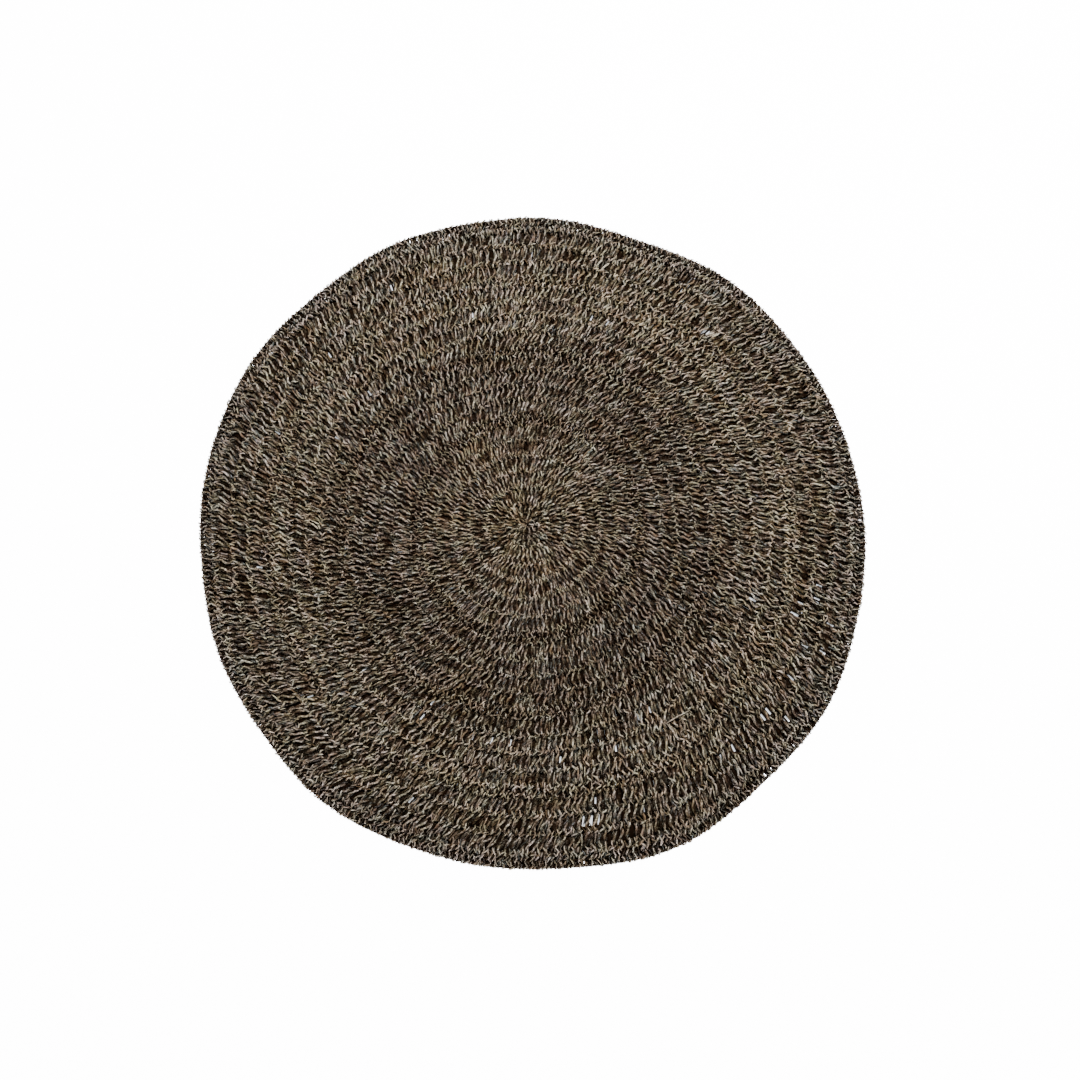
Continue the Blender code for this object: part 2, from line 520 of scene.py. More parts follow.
def drifts(rng: np.random.Generator, count: int, swings: Sequence[tuple[float, float]]) -> Array:
    """The sum of several smooth rows of random numbers.

    Args:
        rng: the seeded source of chance.
        count: how many numbers.
        swings: how strong each row is and about how many neighbours stay alike in it.

    Returns:
        The numbers.
    """
    return sum(size * wander(rng, count, hold) for size, hold in swings)


def in_patches(points: Array) -> tuple[Array, Array]:
    """How much lighter and yellower the patches make points of the rug.

    Args:
        points: the points, with x, y and z along the last axis.

    Returns:
        What to add to their tone and to their tint.
    """
    tone, tint = np.zeros(points.shape[:-1]), np.zeros(points.shape[:-1])
    for patch in PATCHES:
        away = np.hypot(points[..., 0] - patch.x, points[..., 1] - patch.y) / patch.size
        share = np.exp(-(away**2))
        tone, tint = tone + patch.tone * share, tint + patch.tint * share
    return tone, tint


def smooth(low: float, high: float, value: Array) -> Array:
    """A smooth step from 0 at low to 1 at high.

    Args:
        low: where it leaves 0.
        high: where it reaches 1.
        value: the values to read it at.

    Returns:
        The step at each value.
    """
    share = np.clip((value - low) / (high - low), 0.0, 1.0)
    return share * share * (3.0 - 2.0 * share)


def step_at(radius: float, span: tuple[float, float]) -> float:
    """A smooth step from 0 to 1 between two radii, read at one radius."""
    return float(smooth(*span, np.array(radius)))


@dataclass(frozen=True)
class Cord:
    """The two-ply cord. Its section is two round plies laid together, with a groove between.

    Args:
        lay: length of one full turn of the plies.
        natural: radius of the natural ply.
        black: radius of the black ply.
        natural_points: points round the natural ply, apart from the grooves.
        black_points: the same for the black ply.
        groove: half the thickness left between the plies.
        width: room that the cord takes beside its neighbour.
        painted_crest_light: how much lighter the plies are painted along their crests than in the
            grooves: painted light on the crests and painted shade in the grooves.
        level: where on a ply that painting is neither, from 0 in the groove to 1 on the crest.
    """

    lay: float = 0.040
    natural: float = 0.00260
    black: float = 0.00205
    natural_points: int = 3
    black_points: int = 2
    groove: float = 0.0005
    width: float = 0.0096
    painted_crest_light: float = 0.24
    level: float = 0.6

    @staticmethod
    def ply(radius: float, points: int) -> list[tuple[float, float]]:
        """The points round one ply from groove to groove.

        Args:
            radius: the ply's radius.
            points: how many points.

        Returns:
            Their distances along and across the line through both plies.
        """
        spread = radians(180.0 - 240.0 / points)
        turns = np.linspace(-spread, spread, points)
        return [(radius * (1.0 + cos(turn)), radius * sin(turn)) for turn in turns]

    def section(self) -> Array:
        """The section's points, as distances along and across the line through both plies."""
        natural = self.ply(self.natural, self.natural_points)
        black = [(-x, -y) for x, y in self.ply(self.black, self.black_points)]
        return np.array([(0.0, -self.groove), *natural, (0.0, self.groove), *black])

    # Painted light and shade: each point of the section is lighter towards the crests, darker in
    # the grooves
    def painted_crest_shading(self) -> Array:
        """How much lighter or darker each point of the section is."""
        section = self.section()
        radius = np.where(section[:, 0] > 0.0, self.natural, self.black)
        return self.painted_crest_light * (np.abs(section[:, 0]) / (2.0 * radius) - self.level)

    def natural_faces(self) -> tuple[int, ...]:
        """Which faces round the section belong to the natural ply."""
        return tuple(range(self.natural_points + 1))

    def grooves(self) -> tuple[int, ...]:
        """Which points of the section lie in a groove."""
        return (0, self.natural_points + 1)


@dataclass
class Shell:
    """A mesh in the making.

    Args:
        points: the vertices.
        faces: four vertices a face.
        slots: the material slot of each face.
        fibre: for each corner of each face, how far along and around its strand it lies.
        bake: for each corner of each face, its place on the bake map of its own round.
        sharp: pairs of vertices with a crease between them.
        tone: how light or dark the strand is at each vertex, about 0, painted light and shade
            included.
        tint: how warm or cool it is at each vertex, about 0.
    """

    points: Array
    faces: Array
    slots: Array
    fibre: Array
    bake: Array
    sharp: Array
    tone: Array
    tint: Array


@dataclass(frozen=True)
class CordRun:
    """The way of one closed cord and how it lies.

    Args:
        cord: the cord.
        points: the middle of the cord, section by section.
        room: how much narrower or wider than usual it lies at each section.
        faced: how strongly the natural ply is turned up at each section, from 0 to 1.
        tone: how light it is at each section.
        tint: how warm it is.
        sections: how many sections a stitch has.
        seed: what sets its twist and fibres apart from those of the other cords.
    """

    cord: Cord
    points: Array
    room: Array
    faced: Array
    tone: Array
    tint: float
    sections: int
    seed: int

    def sweep(self) -> Shell:
        """The cord as one closed tube with a twisted two-ply section."""
        points = self.points
        ahead = np.roll(points, -1, axis=0) - np.roll(points, 1, axis=0)
        ahead /= np.linalg.norm(ahead, axis=1, keepdims=True)
        side = np.cross(ahead, (0.0, 0.0, 1.0))
        side /= np.linalg.norm(side, axis=1, keepdims=True)
        over = np.cross(side, ahead)
        steps = np.linalg.norm(np.roll(points, -1, axis=0) - points, axis=1)
        length = np.concatenate(((0.0,), np.cumsum(steps)))
        rng = Chance.CORD.source(self.seed)
        turns = round(length[-1] / self.cord.lay)
        twist = -FULL_TURN * turns * length[:-1] / length[-1]
        twist = twist + rng.uniform(0.0, FULL_TURN) + drifts(rng, len(points), TWIST_DRIFTS)
        twist = twist + self.faced * np.cos(twist)
        section = self.cord.section()
        across = np.cos(twist)[:, None] * section[:, 0] - np.sin(twist)[:, None] * section[:, 1]
        upward = np.sin(twist)[:, None] * section[:, 0] + np.cos(twist)[:, None] * section[:, 1]
        across = across * self.room[:, None]
        swell = wander(rng, len(points), THICKNESS_HOLD).clip(-CLOSE_LIMIT, CLOSE_LIMIT)
        thick = (1.0 + THICKNESS_DRIFT * swell)[:, None]
        across, upward = across * thick, upward * thick
        skin = points[:, None] + across[..., None] * side[:, None]
        skin = skin + upward[..., None] * over[:, None]
        skin[..., 2] = np.maximum(skin[..., 2], LOWEST_SKIN)
        tone = self.tone + drifts(rng, len(points), TONE_DRIFTS)
        tint = self.tint + drifts(rng, len(points), TINT_DRIFTS)
        lighter, yellower = in_patches(points)
        # Painted light on the plies' crests and painted shade in their grooves
        tone = (tone + lighter)[:, None] + self.cord.painted_crest_shading()
        tint = np.repeat(tint + yellower, len(section))
        return self.faces(skin, length, tone, tint)

    def faces(self, skin: Array, length: Array, tone: Array, tint: Array) -> Shell:
        """Join the sections of the cord with faces.

        Args:
            skin: the points of every section.
            length: how far along the cord each section lies, and the whole length last.
            tone: how light the cord is at each point of each section.
            tint: how warm it is there.

        Returns:
            The closed tube.
        """
        rings, points = skin.shape[:2]
        ring, point = np.meshgrid(np.arange(rings), np.arange(points), indexing="ij")
        ring, point = ring.ravel(), point.ravel()
        ring_after, point_after = (ring + 1) % rings, (point + 1) % points
        corners = (
            ring * points + point,
            ring_after * points + point,
            ring_after * points + point_after,
            ring * points + point_after,
        )
        faces = np.stack(corners, axis=1)
        slots = np.where(np.isin(point, self.cord.natural_faces()), 0, 1)
        far = np.stack((length[ring], length[ring + 1], length[ring + 1], length[ring]), axis=1)
        round_it = np.stack((point, point, point + 1, point + 1), axis=1) * CORD_GIRTH / points
        fibre = np.stack((far + CORD_APART * self.seed, round_it), axis=-1)
        stitch, section = ring // self.sections, ring % self.sections
        x = np.stack((section, section + 1, section + 1, section), axis=1) / self.sections
        y = np.stack((point, point, point + 1, point + 1), axis=1) / points
        bake = np.stack((x, y, np.broadcast_to(stitch[:, None], x.shape)), axis=-1)
        groove = np.concatenate([np.flatnonzero(point == g) for g in self.cord.grooves()])
        sharp = faces[groove][:, :2]
        return Shell(skin.reshape(-1, 3), faces, slots, fibre, bake, sharp, tone.reshape(-1), tint)


@dataclass(frozen=True)
class FlatStrands:
    """Flat strands with four corners, all with as many rings.

    Args:
        skin: the strands' corners: strands by rings by corners by three.
        seed: what sets their fibres apart from those of other strands.
        tone: how light each strand is.
        tint: how warm each strand is.
        slot: their material slot.
        step: about how far apart the rings are.
        painted_crest_light: how much lighter their tops are than their sides, as painted light on
        top and painted shade on the sides and bottom.
    """

    skin: Array
    seed: int
    tone: Array
    tint: Array | float = 0.0
    slot: int = 0
    step: float = 0.018
    painted_crest_light: float = 0.0

    @staticmethod
    def lay(cloth: Cloth, radius: Array, bearing: Array, height: Array, half: Array,
            thickness: float) -> Array:
        """Lay strands out along their middles.

        Args:
            cloth: what they are laid out on.
            radius: the middle of each ring of each strand.
            bearing: the same.
            height: the same.
            half: half the strands' width.
            thickness: their thickness.

        Returns:
            The strands' corners.
        """
        out, along = np.gradient(radius, axis=1), np.gradient(bearing, axis=1) * radius
        size = np.hypot(out, along)
        corners = []
        for side, over in CORNERS:
            moved = radius - side * half * along / size
            turned = bearing + side * half * out / size / radius
            lift = np.broadcast_to(height + over * thickness / 2.0, radius.shape)
            corners.append(cloth.place(moved, turned, lift))
        return np.stack(corners, axis=2)

    def shell(self) -> Shell:
        """Join the corners of the strands with faces."""
        strands, rings, corners = self.skin.shape[:3]
        faces, fibre, bake = [], [], []
        number = np.arange(strands)[:, None]

        def add(indices: Sequence[int], along: Sequence[float], around: Sequence[float]) -> None:
            """Add one face to every strand."""
            faces.append(number * rings * corners + np.array(indices))
            apart = number * STRAND_APART + self.seed * ROW_APART
            far = np.array(along) * self.step + apart
            wide = np.broadcast_to(np.array(around) * STRAND_SIDE, far.shape)
            fibre.append(np.stack((far, wide), axis=-1))
            x = np.broadcast_to(np.array(along) / rings, far.shape)
            y = np.broadcast_to(np.array(around) / corners, far.shape)
            bake.append(np.stack((x, y, np.broadcast_to(number, far.shape)), axis=-1))

        for ring in range(rings - 1):
            for corner in range(corners):
                after = (corner + 1) % corners
                here, there = ring * corners, (ring + 1) * corners
                add((here + corner, here + after, there + after, there + corner),
                    (ring, ring, ring + 1, ring + 1), (corner, corner + 1, corner + 1, corner))
        last = (rings - 1) * corners
        ends = (rings - 1, rings - 1, rings, rings)
        add((3, 2, 1, 0), ends, (0, 1, 1, 0))
        add((last, last + 1, last + 2, last + 3), ends, (2, 3, 3, 2))
        joined = np.stack(faces, axis=1).reshape(-1, 4)
        lighter, yellower = in_patches(self.skin)
        # Painted light on the tops of the strands and painted shade on their sides and bottoms
        tone = self.tone.reshape(-1, 1, 1) + lighter + self.painted_crest_light * np.array(CORNER_PAINTED_LIGHT)
        return Shell(
            self.skin.reshape(-1, 3),
            joined,
            np.full(len(joined), self.slot),
            np.stack(fibre, axis=1).reshape(-1, 4, 2),
            np.stack(bake, axis=1).reshape(-1, 4, 3),
            np.zeros((0, 2), dtype=int),
            tone.reshape(-1),
            (np.reshape(self.tint, (-1, 1, 1)) + yellower).reshape(-1),
        )


# Natural and black heads: how many rings they have, what black ones, which are straight, have for
# an arch, how much lower these lie, how much narrower arched ends are, and the part of the
# difference in tone that falls to the natural ones
HEAD_RINGS = (4, 2)
BLACK_ARCH = 0.35
BLACK_DROP = 0.0004
HEAD_TAPER = 0.40
NATURAL_PART = 1.0 / 3.0

# How they vary from one to the next: their length and width as shares, how far they stray out, how
# far along as a share of their spacing, how far they bend, lift and tip, and their tone and warmth
LENGTH_CHANGE = 0.18
WIDTH_CHANGE = 0.14
OUT_CHANGE = 0.0016
ALONG_CHANGE = 0.15
BEND_CHANGE = 0.0010
LIFT_CHANGE = 0.0006
TIP_CHANGE = 0.0005
TONE_CHANGE = 0.11
TINT_CHANGE = 0.10

# Slow changes along their row: how strong each is and about how many heads stay alike
OUT_DRIFTS = ((0.0016, 5.0),)
HEAD_TONE_DRIFTS = ((0.05, 6.0),)
HEAD_TINT_DRIFTS = ((0.20, 4.0),)
PLACE_DRIFTS = ((0.5, 4.0),)
RIM_DRIFT = 0.0008
RIM_HOLD = 2.0


@dataclass(frozen=True)
class HeadRow:
    """A row of stitch heads: short strands of both plies in turn, which slant along an edge.

    Args:
        seed: what sets the row apart from the others.
        turns: the bearing of each natural strand, at the place where it's tied.
        tied: where along its length that is, from -1 at the inner end to 1 at the outer end.
        radius: its radius.
        height: height of the strands' middles.
        slant: degrees that they lean clockwise on their way out.
        tone: how light they are.
        tint: how warm they are.
        stray: how far they stray in and out.
        size: how much larger than usual they are.
        scatter: how far the slant varies, in degrees.
        length: their usual length.
        widths: their usual widths, of the natural and of the black ply.
        thickness: their thickness.
        drop: how much lower their ends are than their middles.
        cloth: what they are laid out on.
    """

    seed: int
    turns: Array
    tied: float
    radius: float
    height: float
    slant: float
    tone: float
    tint: float
    stray: float
    size: float
    scatter: float
    length: float = 0.0136
    widths: tuple[float, float] = (0.0039, 0.0032)
    thickness: float = 0.0028
    drop: float = 0.0026
    cloth: Cloth = Cloth()

    def shell(self, slot: int) -> Shell:
        """The strands of one ply.

        Args:
            slot: 0 for natural and 1 for black, which are straight.

        Returns:
            The strands.
        """
        rng = Chance.HEADS.source(2 * self.seed + slot)
        count = len(self.turns)
        share = np.linspace(-1.0, 1.0, HEAD_RINGS[slot])
        arch = share**2 if slot == 0 else BLACK_ARCH

        def vary(size: float) -> Array:
            """Random changes, one a strand."""
            return size * rng.normal(size=(count, 1)).clip(-WIDE_LIMIT, WIDE_LIMIT)

        slant = radians(self.slant) + vary(radians(self.scatter))
        reach = self.size * self.length / 2.0 * (1.0 + vary(LENGTH_CHANGE))
        stray = vary(OUT_CHANGE) + drifts(rng, count, OUT_DRIFTS)[:, None]
        radius = self.radius + stray * self.stray + share * reach * np.cos(slant)
        sway = wander(rng, count, RIM_HOLD).clip(-CLOSE_LIMIT, CLOSE_LIMIT)[:, None]
        radius = np.minimum(radius, self.cloth.radius - RIM_INSET + RIM_DRIFT * sway)
        turn = self.turns[:, None] + (0.5 * slot + vary(ALONG_CHANGE)) * FULL_TURN / count
        bend = vary(BEND_CHANGE) * (1.0 - arch) + vary(BEND_CHANGE) * np.sin(pi * share)
        bearing = turn + (bend - (share - self.tied) * reach * np.sin(slant)) / self.radius
        height = self.height - BLACK_DROP * slot + vary(LIFT_CHANGE) + vary(TIP_CHANGE) * share
        height = height - self.drop * arch
        half = self.size * self.widths[slot] / 2.0 * (1.0 - HEAD_TAPER * arch)
        half = half * (1.0 + vary(WIDTH_CHANGE))
        skin = FlatStrands.lay(self.cloth, radius, bearing, height, half, self.thickness)
        apart = float(np.interp(self.radius, SPLIT_RADII, SPLITS))
        tone = self.tone + apart * (NATURAL_PART - slot) + vary(TONE_CHANGE)
        tone = tone + drifts(rng, count, HEAD_TONE_DRIFTS)[:, None]
        tint = self.tint + vary(TINT_CHANGE) + drifts(rng, count, HEAD_TINT_DRIFTS)[:, None]
        return FlatStrands(skin, HEAD_SEEDS + 2 * self.seed + slot, tone, tint, slot,
                           self.length / (len(share) - 1), STRAND_PAINTED_LIGHT).shell()


# How the cord of the legs strays. Turns and legs stray further in loose work, and partly with their
# neighbours; strays sideways are shares of the form's stray, at the low and at the high turns and
# halfway along the legs. Legs bend once each way, by this much in tight and more in loose work
TIGHT_STRAY = 0.85
LOOSE_STRAY = 0.45
SHARED_STRAY = 0.6
OWN_STRAY = 0.8
LOW_ASIDE = 0.6
HIGH_ASIDE = 0.8
BULGE = 0.55
TIGHT_BEND = 0.0005
LOOSE_BEND = 0.0009
WAVER = 0.0005

# About how many stitches stay alike: in how far they reach, lie aside, dive and lie high; and about
# how many sections do in the cord's waver
REACH_HOLD = 3.0
ASIDE_HOLD = 4.0
DIVE_HOLD = 2.0
HEIGHT_HOLD = 3.0
WAVER_HOLD = 1.5

# Its height: how much the dive of the turns and the height of the legs vary, how many times as much
# the height may, between which shares of a leg it goes over into that of either end, and its limits
DIVE_CHANGE = 0.8
HEIGHT_CHANGE = 0.00055
HEIGHT_LIMIT = 1.5
OUTER_SHARES = (0.60, 0.95)
INNER_SHARES = (0.40, 0.05)
CORD_HEIGHTS = (0.0040, 0.0094)

# The fewest stitches, heads and places of drift in a round, and the least radius that a way along
# the round is reckoned at
FEWEST_STITCHES = 6
FEWEST_HEADS = 5
FEWEST_PLACES = 3
LEAST_RADIUS = 0.006

# How strongly the natural ply faces up, along the legs and further at the turns, and how narrow and
# wide the cord may lie
LEG_FACED = 0.30
TURN_FACED = 0.5
CORD_ROOMS = (0.5, 1.02)

# The second strands: half their width, their thickness, height and sag, how their places vary, how
# they bow, lift and taper, how their tone and warmth vary, and how many of the spaces they fill
SECOND_HALF = 0.0019
SECOND_THICKNESS = 0.0028
SECOND_HEIGHT = 0.0066
SECOND_SAG = 0.0006
SECOND_ASIDE = 0.24
SECOND_REACHES = (0.30, 0.48)
SECOND_STRAY = 0.0035
SECOND_BOW = 0.0006
SECOND_LIFT = 0.0010
SECOND_TAPER = 0.30
SECOND_TONE = 0.12
SECOND_TINT = 0.15
SPARE_FILL = 0.15
TIGHT_FILL = 0.12
FILL_POWER = 0.7

# The heads: their slant in degrees on the inner and the outer side of an edge, how much of it they
# have in tight work and how much more in loose work, how many places the lean is averaged over, how
# far from their middles they are tied to legs, and the spacing at which they have their usual size
HEAD_SLANTS = (-20.0, 31.0)
TIGHT_SLANT = 0.55
LOOSE_SLANT = 0.45
LEAN_PLACES = 24
HEAD_TIE = 0.0060
HEAD_SPACING = 0.0124
HEAD_SIZES = (0.88, 1.06)

# How much warmer they are than the cord, how far they stray in the border, in tight work and how
# much further in loose work, and by how many degrees their slant varies in the border and elsewhere
HEAD_WARMTH = 0.15
BORDER_STRAY = 0.7
TIGHT_HEAD_STRAY = 0.4
LOOSE_HEAD_STRAY = 0.5
BORDER_SCATTER = 17.0
HEAD_SCATTER = 14.0


@dataclass(frozen=True)
class StitchRound:
    """One round of stitches, worked as one closed cord that goes out and in like a serpent.

    Args:
        place: its place in the order of the rounds.
        number: its name.
        inner: its inner radius.
        outer: its outer radius.
        kind: how it is worked.
        after: the next round out.
        cord: the cord.
        fill: the share of the spaces that hold a second strand, natural and black, in loose work.
        cloth: what it is laid out on.
    """

    place: int
    number: str
    inner: float
    outer: float
    kind: RoundKind
    after: "StitchRound | None" = None
    cord: Cord = Cord()
    fill: tuple[float, float] = (0.58, 0.30)
    cloth: Cloth = Cloth()

    @property
    def form(self) -> StitchForm:
        """The sizes of this round's stitches."""
        return FORMS[self.kind]

    @property
    def middle(self) -> float:
        """The radius along the middle of the round."""
        return (self.inner + self.outer) / 2.0

    @property
    def looseness(self) -> float:
        """How loosely the round is worked, from 0 near the centre to 1 in the outer rounds."""
        return step_at(self.middle, LOOSE_STEP)

    @property
    def shade(self) -> float:
        """How light this round's cord is."""
        swells = sum(swell.at(self.middle) for swell in SHADES)
        rim = step_at(self.middle, RIM_SHADE_STEP)
        return self.form.shade + swells + RIM_SHADE * rim

    @property
    def warmth(self) -> float:
        """How warm this round's cord is: the middle of the rug is warmer and the rim cooler."""
        swells = sum(swell.at(self.middle) for swell in WARMTHS)
        rim = step_at(self.middle, RIM_WARMTH_STEP)
        return swells + RIM_WARMTH * rim

    @property
    def spacing(self) -> float:
        """The usual distance from one leg to the next."""
        return self.form.crowding * float(np.interp(self.middle, SPACING_RADII, LEG_SPACINGS))

    @property
    def stitches(self) -> int:
        """How many stitches the round has. Each holds two legs."""
        return max(FEWEST_STITCHES, round(FULL_TURN * self.middle / (2.0 * self.spacing)))

    @property
    def leg_sections(self) -> int:
        """How many sections of the cord a leg has. The middle of the rug has more."""
        return self.form.leg_sections + (MORE_SECTIONS if self.middle < MORE_WITHIN else 0)

    @property
    def sections(self) -> int:
        """How many sections of the cord a stitch has."""
        return 2 * (self.leg_sections + self.form.turn_sections)

    def template(self) -> tuple[Array, Array, Array, Array]:
        """The way of the cord through one even stitch, section by section.

        Returns:
            How far round it is in pitches, how far out between the two turns, how far into a turn
            (down to -1 in the low one and up to 1 in the high one), and 1 on the way back in.
        """
        form = self.form
        turn = np.linspace(-pi / 2, pi / 2, form.turn_sections)
        leg = np.arange(1, self.leg_sections + 1) / (self.leg_sections + 1)
        none = np.zeros(self.leg_sections)
        across = np.concatenate((0.25 * np.sin(turn), none + 0.25, 0.5 + 0.25 * np.sin(turn),
                                 none + 0.75))
        out = np.concatenate((0.0 * turn, leg, 0.0 * turn + 1.0, 1.0 - leg))
        into = np.concatenate((-np.cos(turn), none, np.cos(turn), none))
        back = np.concatenate((0.0 * turn, none, 0.0 * turn, none + 1.0))
        return across, out, into, back

    def lean(self, bearing: Array) -> Array:
        """How far the legs lean clockwise on their way out, which grows from the centre out.

        Args:
            bearing: bearings in radians.

        Returns:
            The tangent of the lean.
        """
        near = max(0.0, 1.0 - self.middle / NEAR_REACH)
        far = step_at(self.middle, FAR_STEP)
        angle = float(np.interp(self.middle, LEAN_RADII, LEAN_ANGLES))
        angle = angle + NEAR_LEAN * near * np.cos(bearing - radians(NEAR_BEARING))
        angle = angle + FAR_LEAN * far * np.cos(bearing - radians(FAR_BEARING))
        return self.form.lean * np.tan(np.radians(angle))

    def gap_places(self) -> list[tuple[float, Gap]]:
        """The bearing of each gap of this round, in radians, with the gap's sizes."""
        x, y = self.cloth.shift(np.array(self.middle))
        found = []
        for gap in GAPS:
            for turn in range(gap.count if gap.number == self.number else 0):
                bearing = radians(gap.bearing + gap.step * turn)
                back = float(x * sin(bearing) - y * cos(bearing)) / self.middle
                found.append((bearing + back, gap))
        return found

    def places(self) -> list[tuple[int, float, Gap]]:
        """The gaps in order round, each with the number of the space between legs that it takes."""
        spacing = FULL_TURN / (2 * self.stitches)
        found: list[tuple[int, float, Gap]] = []
        for turn, gap in sorted(self.gap_places(), key=lambda item: item[0]):
            place = round(turn / spacing)
            if found and place <= found[-1][0]:
                place = found[-1][0] + 1
            found.append((place, turn, gap))
        return found

    def settle(self, bearing: Array) -> Array:
        """Shift the even stitches a little along the round, as a maker's spacing drifts.

        Each gap ends up in the middle of a space.

        Args:
            bearing: bearings in the even round.

        Returns:
            The bearings after the shift.
        """
        spacing = FULL_TURN / (2 * self.stitches)
        fixed = np.array([place * spacing for place, _, _ in self.places()])
        moved = np.array([turn for _, turn, _ in self.places()]) - fixed
        rng = Chance.DRIFT.source(self.place)
        count = max(FEWEST_PLACES, round(FULL_TURN * self.middle / DRIFT_PLACES))
        knots = np.arange(count) * FULL_TURN / count
        shifts = rng.normal(size=count).clip(-DRIFT_LIMIT, DRIFT_LIMIT) * DRIFT / self.middle
        if len(fixed):
            away = np.abs((knots[:, None] - fixed + pi) % FULL_TURN - pi).min(axis=1)
            free = away > DRIFT_CLEAR / self.middle
            knots = np.concatenate((knots[free], fixed))
            shifts = np.concatenate((shifts[free], moved))
        return bearing + np.interp(bearing, knots, shifts, period=FULL_TURN)

    def open_gaps(self, radius: Array, bearing: Array) -> Array:
        """Bow the cord sideways round the gaps, so that they open.

        Args:
            radius: radii of points on the cord.
            bearing: their bearings in radians.

        Returns:
            The bearings after the gaps are opened.
        """
        for turn, gap in self.gap_places():
            line = turn - self.lean(np.array(turn)) * (radius - self.middle) / radius
            away = (bearing - line + pi) % FULL_TURN - pi
            beside = np.abs(away) * radius
            along = np.clip(np.abs(radius - self.middle) / (gap.along * GAP_ENDS), 0.0, 1.0)
            clear = (OPENNESS * gap.across + GAP_CORD_ROOM) / 2.0 * np.sqrt(1.0 - along**2)
            beside = np.where(beside < GAP_REACH, np.maximum(beside, clear), beside)
            bearing = line + np.copysign(beside / radius, away)
        return bearing

    def legs(self) -> CordRun:
        """The cord that makes the legs, out and in all round."""
        form, count, rng = self.form, self.stitches, Chance.LEGS.source(self.place)
        across, out, into, back = self.template()
        depth = self.spacing / 2.0

        def between(low: Array, high: Array) -> Array:
            """Spread values of the low and high turns along the legs between them."""
            start = np.where(back > 0.5, np.roll(low, -1)[:, None], low[:, None])
            return start + (high[:, None] - start) * out

        def stray(size: float, hold: float) -> Array:
            """Random offsets, one a stitch, partly shared by neighbours."""
            shared = wander(rng, count, hold)
            own = OWN_STRAY * rng.normal(size=count)
            return size * (SHARED_STRAY * shared + own).clip(-WIDE_LIMIT, WIDE_LIMIT)

        loose = TIGHT_STRAY + LOOSE_STRAY * self.looseness
        low = self.inner - form.under + depth + stray(form.stray * loose, REACH_HOLD)
        high = self.outer + form.over - depth + stray(form.stray * loose, REACH_HOLD)
        radius = between(low, high) + into * depth
        low_aside = stray(form.stray * LOW_ASIDE, ASIDE_HOLD)
        high_aside = stray(form.stray * HIGH_ASIDE, ASIDE_HOLD)
        sideways = between(low_aside, high_aside) * loose
        bulge = rng.normal(size=(count, 2)) * form.stray * BULGE * loose
        arch = np.where(back > 0.5, bulge[:, 1:2], bulge[:, 0:1])
        bend = TIGHT_BEND + LOOSE_BEND * self.looseness
        sideways = sideways + arch * np.sin(pi * out) + bend * np.sin(FULL_TURN * out)
        waver = wander(rng, out.size * count, WAVER_HOLD).reshape(count, -1)
        sideways = sideways + WAVER * loose**2 * waver
        turn = self.settle((np.arange(count)[:, None] + across) * FULL_TURN / count)
        slant = self.lean(turn) * (radius - self.middle)
        bearing = turn + (sideways - slant) / np.maximum(radius, LEAST_RADIUS)
        bearing = self.open_gaps(radius, bearing)
        share = (radius - self.inner) / (self.outer - self.inner)
        height = form.post_height + np.zeros_like(radius)
        height += (form.outer_height - form.post_height) * smooth(*OUTER_SHARES, share)
        height += (form.inner_height - form.post_height) * smooth(*INNER_SHARES, share)
        change = between(stray(1.0, DIVE_HOLD), stray(1.0, DIVE_HOLD))
        height = height - form.dive * (1.0 + DIVE_CHANGE * change) * into**2
        change = between(stray(1.0, HEIGHT_HOLD), stray(1.0, HEIGHT_HOLD))
        change = change.clip(-HEIGHT_LIMIT, HEIGHT_LIMIT)
        height = np.clip(height + HEIGHT_CHANGE * change, *CORD_HEIGHTS)
        room = FULL_TURN * radius / (2 * count) / self.cord.width
        cord = replace(self.cord, lay=float(np.interp(self.middle, LAY_RADII, LAYS)))
        points = self.cloth.place(radius, bearing, height)
        faced = np.broadcast_to(LEG_FACED + TURN_FACED * np.abs(into), radius.shape)
        tone = np.full(radius.size, self.shade)
        return CordRun(cord, points.reshape(-1, 3), np.clip(room, *CORD_ROOMS).reshape(-1),
                       faced.reshape(-1), tone, self.warmth, self.sections, self.place)

    def leg_lines(self, radius: float) -> Array:
        """Where the even legs of this round cross a circle.

        Args:
            radius: the circle's radius.

        Returns:
            The bearing of each leg there.
        """
        count = 2 * self.stitches
        turn = self.settle((np.arange(count) + 0.5) * FULL_TURN / count)
        return turn - self.lean(turn) * (radius - self.middle) / radius

    def even_places(self, radius: float, spacing: float, seed: int) -> Array:
        """Bearings of strands that aren't tied to legs.

        Args:
            radius: the radius of their row.
            spacing: from one to the next.
            seed: what sets the row apart from the others.

        Returns:
            The bearings, which drift a little.
        """
        count = max(FEWEST_HEADS, round(FULL_TURN * radius / spacing))
        drift = drifts(Chance.PLACES.source(seed), count, PLACE_DRIFTS)
        return (np.arange(count) + drift) * FULL_TURN / count

